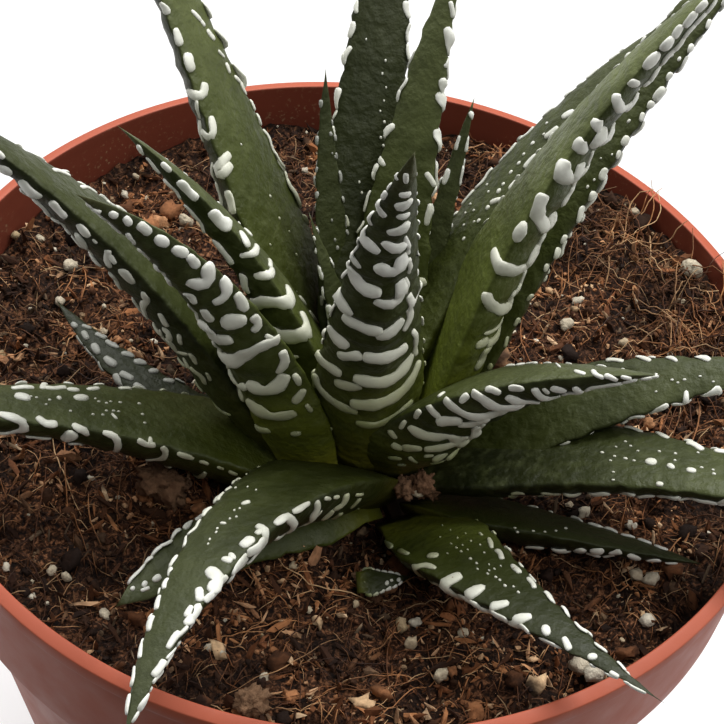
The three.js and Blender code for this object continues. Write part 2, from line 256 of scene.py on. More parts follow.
# %% Material helper
class Paint:
    """A small builder round one Principled shader."""

    def __init__(self, name, roughness, specular):
        self.material = bpy.data.materials.new(name)
        self.material.use_nodes = True
        self.nodes = self.material.node_tree.nodes
        self.links = self.material.node_tree.links
        self.shader = self.nodes["Principled BSDF"]
        self.shader.inputs["Roughness"].default_value = roughness
        self.shader.inputs["Specular IOR Level"].default_value = specular
        self.position = self.nodes.new("ShaderNodeTexCoord").outputs["Object"]

    def feed(self, socket, value):
        """Link a socket to the input, or write a number or a colour into it."""
        if isinstance(value, bpy.types.NodeSocket):
            self.links.new(value, socket)
        elif isinstance(value, tuple):
            socket.default_value = (*value, 1)
        else:
            socket.default_value = value

    def parts(self, vector):
        split = self.nodes.new("ShaderNodeSeparateXYZ")
        self.links.new(vector, split.inputs[0])
        return [split.outputs[axis] for axis in "XYZ"]

    def place(self):
        """The two numbers of the Place map."""
        lookup = self.nodes.new("ShaderNodeUVMap")
        lookup.uv_map = PLACE_MAP
        return self.parts(lookup.outputs["UV"])[:2]

    def noise(self, scale, detail, distortion=0.0):
        pattern = self.nodes.new("ShaderNodeTexNoise")
        pattern.inputs["Scale"].default_value = scale
        pattern.inputs["Detail"].default_value = detail
        pattern.inputs["Distortion"].default_value = distortion
        self.links.new(self.position, pattern.inputs["Vector"])
        return pattern.outputs["Fac"]

    def cells(self, scale):
        pattern = self.nodes.new("ShaderNodeTexVoronoi")
        pattern.inputs["Scale"].default_value = scale
        self.links.new(self.position, pattern.inputs["Vector"])
        return pattern.outputs["Distance"]

    def ramp(self, value, *stops):
        """Each stop is a position and a colour of three linear numbers, or one number for a grey."""
        ramp = self.nodes.new("ShaderNodeValToRGB")
        elements = ramp.color_ramp.elements
        while len(elements) < len(stops):
            elements.new(0.5)
        for element, (position, colour) in zip(elements, stops):
            element.position = position
            rgb = colour if isinstance(colour, tuple) else (colour, colour, colour)
            element.color = (*rgb, 1)
        self.links.new(value, ramp.inputs["Fac"])
        return ramp.outputs["Color"]

    def mix(self, share, first, second):
        """First where share is 0, second where it is 1."""
        mix = self.nodes.new("ShaderNodeMix")
        mix.data_type = "RGBA"
        for socket, value in ((mix.inputs[0], share), (mix.inputs[6], first), (mix.inputs[7], second)):
            self.feed(socket, value)
        return mix.outputs[2]

    def math(self, kind, first, second=0.0):
        node = self.nodes.new("ShaderNodeMath")
        node.operation = kind
        self.feed(node.inputs[0], first)
        self.feed(node.inputs[1], second)
        return node.outputs[0]

    def colour(self, socket):
        self.links.new(socket, self.shader.inputs["Base Color"])

    def rough(self, socket):
        self.links.new(socket, self.shader.inputs["Roughness"])

    def bump(self, height, strength, distance):
        node = self.nodes.new("ShaderNodeBump")
        node.inputs["Strength"].default_value = strength
        node.inputs["Distance"].default_value = distance
        self.links.new(height, node.inputs["Height"])
        self.links.new(node.outputs["Normal"], self.shader.inputs["Normal"])


print("materials before the first finish:", len(bpy.data.materials))

# %% [markdown]
# ## The pot
# A nursery pot is blown or pressed from thin terracotta coloured plastic: a tapered wall, a taller
# collar that stiffens its mouth, a flat lip with small rounds and a fine groove under it. The sizes in
# millimetres are those of the CAD model, and the small rounds are added here.

# %% Pot sizes
POT_HEIGHT = 105
RIM_RADIUS = 60
LIP_WIDTH = 1.8
LIP_HEIGHT = 2.6
LIP_EDGE = 0.3
LIP_FOOT_ROUND = 0.35
LIP_FOOT_LIFT = 0.25
LIP_INNER_HEIGHT = 1.6
LIP_INNER_END = 3
GROOVE_DEPTH = 0.5
GROOVE_SLOPE = 0.6
COLLAR_HEIGHT = 20
COLLAR_FOOT_RADIUS = 58.3
COLLAR_ROUND = 0.5
STEP_DEPTH = 2.2
STEP_CORNER = 0.3
BASE_RADIUS = 42
WALL = 1.4
BASE_THICKNESS = 2
EDGE_ROUND = 1.2
STEP_HEIGHT = POT_HEIGHT - COLLAR_HEIGHT
BODY_TOP_RADIUS = COLLAR_FOOT_RADIUS - STEP_DEPTH


def inner_radius(height):
    """Inside radius of the pot at a height, as in the CAD model."""
    if height <= STEP_HEIGHT:
        return BASE_RADIUS + (BODY_TOP_RADIUS - BASE_RADIUS) * height / STEP_HEIGHT - WALL
    share = (height - STEP_HEIGHT) / COLLAR_HEIGHT
    return COLLAR_FOOT_RADIUS - WALL + (RIM_RADIUS - LIP_WIDTH - COLLAR_FOOT_RADIUS + WALL) * share


print("inside the mouth:", round(2 * inner_radius(POT_HEIGHT), 1), "mm across")

# %% [markdown]
# All of the pot is round, so its profile is drawn once, from arcs and straight parts: from the underside
# outward, up the wall, over the lip and down the inside.

# %% Pot profile
def arc(centre, radius, start, end, steps):
    """Points on a circular arc of the profile, angles in degrees."""
    angles = np.radians(np.linspace(start, end, steps))
    return [(centre[0] + radius * math.cos(a), centre[1] + radius * math.sin(a)) for a in angles]


def between(start, end, shares):
    """Points on a straight part of the profile, at these shares of its length."""
    return [(start[0] + (end[0] - start[0]) * t, start[1] + (end[1] - start[1]) * t) for t in shares]


def pot_profile():
    """Radius and height from the underside's edge, round the outside, over the lip and down inside."""
    lip_foot = POT_HEIGHT - LIP_HEIGHT
    collar_start = (COLLAR_FOOT_RADIUS, STEP_HEIGHT + 2 * COLLAR_ROUND)
    collar_end = (RIM_RADIUS - GROOVE_DEPTH, lip_foot - GROOVE_SLOPE)
    outside = arc((BASE_RADIUS - EDGE_ROUND, EDGE_ROUND), EDGE_ROUND, -90, -5, 6)
    outside += between((BASE_RADIUS, 0), (BODY_TOP_RADIUS, STEP_HEIGHT), (0.25, 0.5, 0.75, 0.995))
    outside += [(BODY_TOP_RADIUS + STEP_CORNER, STEP_HEIGHT)]
    outside += arc((COLLAR_FOOT_RADIUS - COLLAR_ROUND, STEP_HEIGHT + COLLAR_ROUND), COLLAR_ROUND, -90, 0, 5)
    outside += between(collar_start, collar_end, (0.3, 0.6, 0.97, 1.0))
    outside += arc((RIM_RADIUS - LIP_FOOT_ROUND, lip_foot + LIP_FOOT_LIFT), LIP_FOOT_ROUND, -80, 0, 4)
    lip = arc((RIM_RADIUS - LIP_EDGE, POT_HEIGHT - 2 * LIP_EDGE), LIP_EDGE, 0, 60, 4)
    lip += arc((RIM_RADIUS - LIP_WIDTH + LIP_EDGE, POT_HEIGHT - LIP_EDGE), LIP_EDGE, 75, 180, 5)
    lip += [(lip[-1][0], POT_HEIGHT - LIP_INNER_HEIGHT)]
    collar_inside = np.linspace(POT_HEIGHT - LIP_INNER_END, STEP_HEIGHT + WALL, 8)
    wall_inside = np.linspace(STEP_HEIGHT, BASE_THICKNESS, 6)
    return outside + lip + [(inner_radius(h), h) for h in (*collar_inside, *wall_inside)]


print("points of the pot's profile:", len(pot_profile()))

# %% [markdown]
# The profile is spun into rings. The base needs more care, because six drainage holes pierce it. It is
# laid in six sectors, one round each hole: faces run from the hole's rim out to the wall and in to the
# middle. A boolean cut would do the same, but leaves long thin faces.

# %% Pot mesh
POT_TURNS = 240
DRAIN_HOLES = 6
DRAIN_RADIUS = 3.5
DRAIN_CIRCLE = 26
HOLE_STEPS = POT_TURNS // DRAIN_HOLES


def base_sector(hole, rim, ring_start, centre_point):
    """Faces round one hole, with two steps of the wall to each step of the hole's outer half."""
    first = hole * HOLE_STEPS - HOLE_STEPS // 2
    quarter = HOLE_STEPS // 4
    wall = [ring_start + (first + k) % POT_TURNS for k in range(HOLE_STEPS + 1)]
    outer = [rim + k % HOLE_STEPS for k in range(-quarter, quarter + 1)]
    inner = [rim + k % HOLE_STEPS for k in range(quarter, HOLE_STEPS - quarter + 1)]
    faces = [(outer[k], outer[k + 1], wall[2 * k]) for k in range(2 * quarter)]
    faces += [(wall[k], outer[k // 2 + 1], wall[k + 1]) for k in range(HOLE_STEPS)]
    faces += [(a, b, centre_point) for a, b in zip(inner[:-1], inner[1:])]
    return faces + [(wall[0], centre_point, inner[-1]), (wall[-1], inner[0], centre_point)]


def base_side(points, faces, level, ring_start):
    """Add one side of the base, and return where each hole's rim starts."""
    centre_point = len(points)
    points.append((0, 0, level))
    rims = []
    for hole in range(DRAIN_HOLES):
        middle = hole * 2 * math.pi / DRAIN_HOLES
        rims.append(len(points))
        for k in range(HOLE_STEPS):
            a = middle + 2 * math.pi * k / HOLE_STEPS
            points.append((DRAIN_CIRCLE * math.cos(middle) + DRAIN_RADIUS * math.cos(a),
                           DRAIN_CIRCLE * math.sin(middle) + DRAIN_RADIUS * math.sin(a), level))
        sector = base_sector(hole, rims[-1], ring_start, centre_point)
        faces.extend(sector if level == 0 else [face[::-1] for face in sector])
    return rims


def make_pot(material):
    profile = pot_profile()
    angles = np.arange(POT_TURNS) * 2 * math.pi / POT_TURNS
    points = [(r * math.cos(a), r * math.sin(a), height) for r, height in profile for a in angles]
    faces = ring_faces(len(profile), POT_TURNS)
    lower_rims = base_side(points, faces, 0, 0)
    upper_rims = base_side(points, faces, BASE_THICKNESS, (len(profile) - 1) * POT_TURNS)
    for lower, upper in zip(lower_rims, upper_rims):
        for k in range(HOLE_STEPS):
            after = (k + 1) % HOLE_STEPS
            faces.append((lower + k, lower + after, upper + after, upper + k))
    pot = make_object("nursery_pot", np.array(points) * MM, faces, slots=[material])
    return settle(pot, "pot_plastic", "pot")


# %% [markdown]
# The plastic is smooth and a little waxy. Pale scuffs and a faint grain left by the press keep it from
# looking like a flat colour. Inside the mouth it is darker by painted shade of the walls, and dried specks
# of potting mix stick to it. The object's own coordinates tell the material what is inside: a radius below
# that of the lip, above the step of the wall.

# %% Pot plastic
# Painted shade inside the mouth: the colour there is mixed towards this deep red by this share.
INSIDE_PAINTED_SHADE = (0.10, 0.022, 0.012)
INSIDE_SHADE_SHARE = 0.72
DRIED_MIX = (0.34, 0.21, 0.12)


def plastic_paint():
    paint = Paint("terracotta_plastic", roughness=0.5, specular=0.24)
    tone = paint.ramp(paint.noise(28, 4), (0.3, (0.37, 0.087, 0.045)), (0.7, (0.43, 0.103, 0.056)))
    scuff = paint.ramp(paint.noise(160, 6, distortion=1.5), (0.60, 0.0), (0.80, 0.22))
    scuffed = paint.mix(scuff, tone, (0.40, 0.14, 0.09))
    x, y, z = paint.parts(paint.position)
    radius = paint.math("SQRT", paint.math("ADD", paint.math("MULTIPLY", x, x), paint.math("MULTIPLY", y, y)))
    within = paint.math("LESS_THAN", radius, (RIM_RADIUS - LIP_WIDTH + 0.1) * MM)
    inside = paint.math("MULTIPLY", within, paint.math("GREATER_THAN", z, (STEP_HEIGHT + 1) * MM))
    near_mix = paint.ramp(paint.math("MULTIPLY", z, 1 / (POT_HEIGHT * MM)), (0.95, 1.0), (0.99, 0.25))
    crust = paint.ramp(paint.noise(1500, 3), (0.60, 0.0), (0.66, 0.8))
    patches = paint.ramp(paint.noise(110, 3), (0.46, 0.0), (0.60, 1.0))
    specks = paint.math("MULTIPLY", crust, patches)
    dried = paint.math("MULTIPLY", specks, paint.math("MULTIPLY", inside, near_mix))
    # Painted shade: inside the mouth the plastic is mixed towards a deep red, for the shade of the walls.
    shaded = paint.mix(inside, scuffed, paint.mix(INSIDE_SHADE_SHARE, scuffed, INSIDE_PAINTED_SHADE))
    paint.colour(paint.mix(dried, shaded, DRIED_MIX))
    paint.rough(paint.ramp(paint.noise(240, 5), (0.3, 0.48), (0.75, 0.64)))
    paint.bump(paint.noise(900, 3), 0.12, 0.0002)
    return paint.material


make_pot(plastic_paint())

# %% [markdown]
# ## The lie of the potting mix
# The CAD model gives the mix a level, a hollow round the stem and a bank against the rim at the back
# right. The same rule is repeated here, because the leaves rest on it and every crumb and fibre has to
# find its height.

# %% Height of the mix
SOIL_LEVEL = 97.5
HOLLOW_DEPTH = 6.5
HOLLOW_RADIUS = 15
BANK_HEIGHT = 5.5
BANK_TURN = 30
BANK_SPREAD = 55
STEM_FOOT = (8.0, -13.5, 97.0)
STEM_LEAN = (-4 / 9, 2 / 9)


def soil_height(x, y):
    """Level of the mix in millimetres at places given as numbers or arrays."""
    from_stem = np.hypot(x - STEM_FOOT[0], y - STEM_FOOT[1]) / HOLLOW_RADIUS
    hollow = HOLLOW_DEPTH * np.exp(-from_stem ** 2)
    outward = np.hypot(x, y) / RIM_RADIUS
    turn = (np.degrees(np.arctan2(y, x)) - BANK_TURN + 540) % 360 - 180
    bank = BANK_HEIGHT * outward ** 3 * np.exp(-(turn / BANK_SPREAD) ** 2)
    return SOIL_LEVEL - hollow + bank


print("mix beside the stem:", round(float(soil_height(*STEM_FOOT[:2])), 1), "mm high")

# %% [markdown]
# ## The leaves
# A haworthia leaf is a tapering blade, flat or faintly hollow above and keeled like a boat below. Each
# of the 22 leaves is one row of numbers: its heading and its rise, which change from foot to tip, its
# length and its width. Sculpting them one by one would look as good, but rows are easier to correct.

# %% Leaf table
# Turn and rise in degrees at foot and tip, length and width in millimetres, taper, roll in degrees, and
# the seat: a height and a distance from the stem. Two leaves have a twist, which their roll grows by.
LEAVES = {
    "leaf_right_front": ((320, 346), (72, 17), 46, 17, 0.9, 9, (106, 3.5), 20),
    "leaf_left_front": ((193, 235), (76, 47), 69, 13.8, 0.75, -30, (101, 10)),
    "leaf_centre": ((257, 286), (83, 65), 66.5, 14, 0.72, -20, (107, 4)),
    "leaf_right_tall": ((34, 14), (83, 48), 80, 15, 0.73, 23, (103, 4)),
    "leaf_young_left": ((130, 103), (56, 68), 46.5, 6.6, 0.75, -3, (104, 3.5)),
    "leaf_young_right": ((76, 70), (60, 67), 44, 5.5, 0.7, 2, (104, 3)),
    "leaf_young_small": ((131, 144), (60, 63), 30, 5.5, 0.86, 4, (104, 2.5)),
    "leaf_left_inner": ((157, 180), (66, 38), 52.5, 14, 0.8, -33, (104, 4)),
    "leaf_front_over_rim": ((230, 262), (47, -17), 62, 15, 0.8, -23, (101, 5)),
    "leaf_back_upright": ((96, 69), (66, 59), 63, 11.5, 0.8, 12, (106, 2)),
    "leaf_back_left": ((141, 138), (58, 47), 93, 15, 0.93, -21, (103, 7)),
    "leaf_right_behind": ((42, 32), (64, 46), 89, 14, 0.84, 2, (103, 3)),
    "leaf_left_long": ((174, 195), (60, 38), 73, 17, 0.86, -6, (102, 12), -11),
    "leaf_back_right": ((58, 31), (56, 36), 59, 11.2, 0.6, 28, (109, 1)),
    "leaf_back": ((111, 77), (57, 48), 80, 13.4, 0.78, -5, (105, 2)),
    "leaf_right_low": ((352, 335), (29, 0), 68, 14.7, 0.76, 6, (101, 3)),
    "leaf_right_mid": ((7, 0), (37, 14), 52, 14.4, 0.81, -11, (101, 4)),
    "leaf_left_low": ((183, 211), (25, 7), 76, 16.5, 0.87, -18, (98, 8)),
    "leaf_front_right": ((292, 325), (39, 2), 49, 12.5, 1.1, -3, (97, 7.5)),
    "leaf_right_short": ((337, 347), (20, 2), 36, 10.2, 0.7, 27, (96, 5)),
    "leaf_front_short": ((216, 232), (13, 2), 37, 12.3, 0.61, 23, (98, 7)),
    "leaf_left_short": ((184, 135), (14, 9), 48, 10.3, 0.73, -1, (97, 6)),
}
print("leaves in the table:", len(LEAVES))

# %% [markdown]
# All leaves share some measures: how wide the foot is, where the leaf is widest, how deep and how sharp
# the keel is, how far the upper face swells, and how the margins ripple.

# %% Leaf measures
FOOT_WIDTH = 0.78
WIDEST_AT = 0.2
KEEL_DEPTH = 0.84
KEEL_SHARPNESS = 1.55
SWELL_AT_FOOT = 0.05
SWELL_TO_TIP = 0.2
SWELL_BREADTH = 2.4
SWELL_FLATNESS = 0.6
REST_GAP = 1.05
FOOT_TUCK = 3.0
LINE_STEPS = 120
RIPPLE = 0.16
RIPPLE_RATES = (1.35, 2.3)
RIPPLE_SHARE = 0.6
RIPPLE_PHASE = 7.3
RIPPLE_STARTS = 0.3
RIPPLE_ENDS = 0.25
WIDE_LEAF = 10
STEP_ALONG = 0.004
STEP_ROUND = 0.03
print("depth of the keel as a share of half the width:", KEEL_DEPTH)

# %% [markdown]
# One rule makes every leaf: a bent middle line, and round it a section that narrows to the tip. The two
# numbers along and round name any place on its skin. Along runs from 0 at the foot to 1 at the tip.
# Round is 0 on the keel and 1 or -1 at the margins, and reaches 2 in the middle of the upper face.

# %% Leaf shape
def headings(turn, rise, along):
    """Direction of the middle line, from the turn and the rise in degrees at foot and tip."""
    turns = np.radians(turn[0] + (turn[1] - turn[0]) * along)
    rises = np.radians(rise[0] + (rise[1] - rise[0]) * along)
    return np.stack([np.cos(rises) * np.cos(turns), np.cos(rises) * np.sin(turns), np.sin(rises)], -1)


class LeafShape:
    """The skin of one leaf: where a place (along, round) lies, in millimetres, and its outward side."""

    def __init__(self, turn, rise, length, width, taper, roll, seat, twist=0):
        self.length, self.width, self.taper = length, width, taper
        self.tuck = FOOT_TUCK
        self.ripple_start = RIPPLE_PHASE * turn[0] + width
        self.along = np.linspace(0, 1, LINE_STEPS + 1)
        self.heading = headings(turn, rise, self.along)
        steps = headings(turn, rise, (self.along[:-1] + self.along[1:]) / 2) * length / LINE_STEPS
        up = seat[0] - STEM_FOOT[2]
        outward = np.array([math.cos(math.radians(turn[0])), math.sin(math.radians(turn[0])), 0])
        start = np.array([STEM_FOOT[0] + STEM_LEAN[0] * up, STEM_FOOT[1] + STEM_LEAN[1] * up, seat[0]])
        self.middle = np.vstack([[0, 0, 0], np.cumsum(steps, axis=0)]) + start + outward * seat[1]
        turns = np.radians(turn[0] + (turn[1] - turn[0]) * self.along)
        level = np.stack([np.sin(turns), -np.cos(turns), 0 * turns], -1)
        lean = np.radians(roll + twist * self.along)[:, None]
        self.across = level * np.cos(lean) - np.cross(self.heading, level) * np.sin(lean)
        self.upper = np.cross(self.across, self.heading)

    def blend(self, table, along):
        """A row of the table for each along, which may run a little past either end."""
        inside = np.clip(along, 0, 1)
        return np.stack([np.interp(inside, self.along, table[:, k]) for k in range(3)], -1)

    def half_width(self, along):
        foot = FOOT_WIDTH + (1 - FOOT_WIDTH) * np.sin(np.clip(along / WIDEST_AT, 0, 1) * math.pi / 2)
        tip = (np.clip(1 - along, 0, 1) / (1 - WIDEST_AT)) ** self.taper
        run = along * self.length
        wave = np.sin(run * RIPPLE_RATES[0] + self.ripple_start)
        wave = wave + RIPPLE_SHARE * np.sin(run * RIPPLE_RATES[1] + 2 * self.ripple_start)
        calm = np.clip(along / RIPPLE_STARTS, 0, 1) * np.clip((1 - along) / RIPPLE_ENDS, 0, 1)
        calm = calm * min(1, self.width / WIDE_LEAF)
        return self.width / 2 * np.where(along < WIDEST_AT, foot, tip) + RIPPLE * wave * calm

    def point(self, along, round_):
        along, round_ = np.broadcast_arrays(np.asarray(along, float), np.asarray(round_, float))
        half = self.half_width(along)
        under = np.abs(round_) <= 1
        side = np.sign(round_) + (round_ == 0)
        beyond = np.clip(np.abs(round_) - 1, 0, 1)
        across = np.where(under, np.sin(round_ * math.pi / 2), side * np.cos(beyond * math.pi / 2))
        flat = np.abs(across)
        keel = -half * KEEL_DEPTH * np.clip(1 - flat ** KEEL_SHARPNESS, 0, 1) ** (1 / KEEL_SHARPNESS)
        fullness = np.clip(1 - flat ** SWELL_BREADTH, 0, 1) ** SWELL_FLATNESS
        swell = half * (SWELL_AT_FOOT + SWELL_TO_TIP * along) * fullness
        place = self.blend(self.middle, along)
        place = place + self.blend(self.across, along) * (half * across)[..., None]
        place = place + self.blend(self.upper, along) * np.where(under, keel, swell)[..., None]
        past = np.clip(along - 1, 0, None) + np.clip(along, None, 0)
        place = place + self.blend(self.heading, along) * (past * self.length)[..., None]
        place[..., 2] = np.maximum(place[..., 2], soil_height(place[..., 0], place[..., 1]) + REST_GAP)
        return place

    def outward(self, along, round_):
        """The skin's outward direction, from two short steps on it."""
        ahead = self.point(along + STEP_ALONG, round_) - self.point(along - STEP_ALONG, round_)
        aside = self.point(along, round_ + STEP_ROUND) - self.point(along, round_ - STEP_ROUND)
        return unit(np.cross(ahead, aside))


print("tip of the centre leaf, in mm:", LeafShape(*LEAVES["leaf_centre"]).point(1, 0).round(1))

# %% [markdown]
# ### Leaf skin
# The skin is a grid of rings. The rings are close together, and the points of a ring crowd at the
# margins, where the section bends most. A short bristle closes the tip, and the foot runs on a little
# into the heart of the plant.

# %% Leaf skin
RING_PITCH = 0.95
RING_CROWDING = 1.08
UNDER_POINTS = 18
UPPER_POINTS = 10
BRISTLE = 0.9


def skin_grid(shape):
    """Points, faces and places of the smooth skin, closed at the foot and at the tip."""
    rows = int(shape.length / RING_PITCH)
    along = 1 - (1 - np.linspace(0, 1, rows + 1)[:-1]) ** RING_CROWDING
    along = np.concatenate([[-shape.tuck / shape.length], along])
    under = np.linspace(-1, 1, UNDER_POINTS + 1)[:-1]
    upper_right = np.linspace(1, 2, UPPER_POINTS // 2 + 1)[:-1]
    upper_left = np.linspace(-2, -1, UPPER_POINTS // 2 + 1)[:-1]
    ring = np.concatenate([under, upper_right, upper_left])
    grid_along, grid_round = np.meshgrid(along, ring, indexing="ij")
    tip = shape.point(np.array([1 + BRISTLE / shape.length]), np.array([0.0]))
    points = np.vstack([shape.point(grid_along, grid_round).reshape(-1, 3), tip])
    place = np.stack([grid_along, np.abs(grid_round) / 2], -1).reshape(-1, 2)
    place = np.vstack([place, [[1.0, 0.0]]])
    count = len(ring)
    faces = ring_faces(len(along), count) + fan_faces((len(along) - 1) * count, count, len(points) - 1)
    faces.append(tuple(range(count - 1, -1, -1)))
    return points, faces, place


print("points of one ring of a leaf:", UNDER_POINTS + UPPER_POINTS)

# %% [markdown]
# ### Tubercles
# The white tubercles are raised beads and bars on the skin. Each is laid as a stroke: a short path of
# places on the leaf, with a half width. A stroke becomes a closed oval bar that follows the skin, stands
# proud of it and sinks a little into it, with rounded ends. A stroke with no length is a bead.

# %% Course of a stroke
BAR_PITCH = 0.55
BAR_WAVE = 0.09
BAR_WAVE_RATE = 2.3
BAR_WAVE_PHASE = 40
NO_LENGTH = 1e-6


def smoothed(path, times=2):
    """Cut the corners of a path, its ends stay where they are."""
    for _ in range(times):
        near = path[:-1] * 0.75 + path[1:] * 0.25
        far = path[:-1] * 0.25 + path[1:] * 0.75
        cut = np.stack([near, far], 1).reshape(-1, 2)
        path = np.vstack([path[:1], cut[1:-1], path[-1:]])
    return path


def bar_course(shape, half_width, path):
    """Places down the middle of a bar, running on past the path by its rounded ends, and its girth there."""
    line = shape.point(path[:, 0], path[:, 1])
    gaps = np.linalg.norm(np.diff(line, axis=0), axis=1)
    reach = np.concatenate([[0], np.cumsum(gaps)])
    total = max(reach[-1], NO_LENGTH)
    fullness = 2.0 + min(2.5, 0.5 * total / half_width)
    count = max(5, int(total / BAR_PITCH) + 4)
    spots = np.sin(np.linspace(-1, 1, count + 2) * math.pi / 2)
    along_bar = total / 2 + (total / 2 + half_width) * spots
    girth = np.clip(1 - np.abs(spots) ** fullness, 0, 1) ** (1 / fullness)
    girth = girth * (1 + BAR_WAVE * np.sin(along_bar * BAR_WAVE_RATE + BAR_WAVE_PHASE * path[0, 0]))
    places = np.stack([np.interp(along_bar, reach, path[:, k]) for k in range(2)], -1)
    places += np.minimum(along_bar, 0)[:, None] * (path[1] - path[0]) / max(gaps[0], NO_LENGTH)
    places += np.maximum(along_bar - total, 0)[:, None] * (path[-1] - path[-2]) / max(gaps[-1], NO_LENGTH)
    return places, girth


print("rings of a bar are", BAR_PITCH, "mm apart")

# %% [markdown]
# Round the course of a stroke goes an oval section. It rises less than it is wide, and its lower half is
# sunk into the skin, so no gap shows under it.

# %% A stroke as a mesh
BAR_SIDES = 10
BAR_SINK = 0.35
BAR_RISE = 0.3
BAR_LEAST_RISE = 0.13


def bar_mesh(shape, stroke, sides=BAR_SIDES):
    """Points, faces and places of one tubercle. A stroke is a half width and its (along, round) path."""
    half_width, path = stroke
    path = np.asarray(path, float)
    places, girth = bar_course(shape, half_width, smoothed(path) if len(path) > 2 else path)
    centre = shape.point(places[:, 0], places[:, 1])
    normal = shape.outward(places[:, 0], places[:, 1])
    side = unit(np.cross(normal, unit(np.gradient(centre, axis=0))))
    angles = np.arange(sides) * 2 * math.pi / sides
    rise = np.where(np.sin(angles) > 0, np.sin(angles), BAR_SINK * np.sin(angles))
    wide = (half_width * girth)[:, None] * np.cos(angles)
    tall = ((BAR_RISE * half_width + BAR_LEAST_RISE) * girth ** 0.8)[:, None] * rise
    rings = centre[:, None, :] + side[:, None, :] * wide[..., None] + normal[:, None, :] * tall[..., None]
    points = np.vstack([centre[:1], rings[1:-1].reshape(-1, 3), centre[-1:]])
    count = len(places) - 2
    faces = [(0, 1 + (k + 1) % sides, 1 + k) for k in range(sides)]
    faces += ring_faces(count, sides, first=1)
    faces += fan_faces(1 + (count - 1) * sides, sides, len(points) - 1)
    place = np.vstack([places[:1], np.repeat(places[1:-1], sides, axis=0), places[-1:]])
    return points, faces, place


print("sides of a tubercle bar:", BAR_SIDES)

# %% [markdown]
# ### The habit of the tubercles
# Every leaf follows the same habit: flat beads along both margins, bars across the lower part of the
# underside, round, long and hooked beads beside the margins, fine dots at the foot, and a few tiny dots
# on the upper face. Seeded random numbers vary them, so no two leaves are alike.

# %% Beads at the margins
LAST_BEAD = 0.93


def edge_teeth(shape, rng, side, spacing, size):
    """Long flat beads right on one margin, which show as pale teeth on the leaf's outline."""
    strokes = []
    place = 0.12 + 0.04 * rng.random()
    while place < LAST_BEAD:
        fade = min(1, place / 0.3) * (1 - 0.45 * max(0, place - 0.6) / 0.4)
        half_width = 1.2 * size * rng.uniform(0.7, 1.3) * fade
        stretch = half_width * rng.uniform(0.2, 1.1) / shape.length
        lean = side * rng.uniform(0.94, 1.1)
        strokes.append((half_width, [(place - stretch, lean), (place + stretch, lean + side * 0.02)]))
        place += 1.15 * spacing * rng.uniform(0.55, 1.5) / shape.length
    return strokes


def under_ovals(shape, rng, side, spacing, size):
    """Round, long and hooked beads on the underside beside one margin."""
    strokes = []
    place = 0.3 + 0.05 * rng.random()
    while place < LAST_BEAD:
        fade = 1 - 0.6 * max(0, place - 0.55) / 0.45
        half_width = 1.3 * size * rng.uniform(0.75, 1.25) * fade
        reach = half_width / shape.length
        centre = side * (rng.uniform(0.5, 0.66) if place < 0.8 else rng.uniform(0.4, 0.6))
        kind = rng.random()
        if kind < 0.25 and place < 0.75:
            path = [(place + 2.2 * reach, centre + side * 0.2), (place, centre + side * 0.16),
                    (place - 0.7 * reach, centre - side * 0.08), (place + 0.6 * reach, centre - side * 0.24)]
        elif kind < 0.55:
            path = [(place - 0.9 * reach, centre), (place + 0.9 * reach, centre + side * 0.04)]
        else:
            path = [(place, centre - 0.05), (place + 0.2 * reach, centre + 0.05)]
        strokes.append((half_width, path))
        place += spacing * rng.uniform(0.6, 1.4) / shape.length
    return strokes


print("margins: flat beads on the edge, round ones beside it")

# %% [markdown]
# Bars cross the underside near the foot. They break here and there, and sag towards the foot at the
# keel. Dots are the smallest tubercles, and only their number, their part of the skin and their size
# are set.

# %% Bars and dots
BAR_START = 0.15
BAR_REACH = 0.66
BAR_MARGIN = 0.09
BAR_SAG = 0.03
SHORTEST_BAR = 0.05


def under_bars(shape, rng, until, size):
    """Bars across the underside, from foot to tip as far as until."""
    strokes = []
    place = BAR_START
    while place < until:
        half_width = size * rng.uniform(0.8, 1.15) * min(1, place / 0.22)
        breaks = [rng.uniform(-0.45, 0.45) for _ in range(rng.choice((0, 1, 1, 2)))]
        cuts = sorted([-BAR_REACH, BAR_REACH] + breaks)
        for left, right in zip(cuts[:-1], cuts[1:]):
            first, last = left + BAR_MARGIN, right - BAR_MARGIN
            if last - first < SHORTEST_BAR:
                continue
            bend = rng.uniform(-0.007, 0.007)
            path = [(place + bend + BAR_SAG * r * r, r) for r in np.linspace(first, last, 5)]
            strokes.append((half_width, path))
        place += rng.uniform(3.2, 4.4) / shape.length
    return strokes


def tiny_dots(shape, rng, amount, along, rounds, size):
    """Small raised points scattered over a part of the skin."""
    strokes = []
    for _ in range(amount):
        place = rng.uniform(*along)
        where = rng.uniform(*rounds)
        half_width = size * rng.uniform(0.55, 1.35)
        reach = 0.4 * half_width / shape.length
        strokes.append((half_width, [(place - reach, where), (place + reach, where)]))
    return strokes


print("underside: bars from", BAR_START, "of the leaf upward")
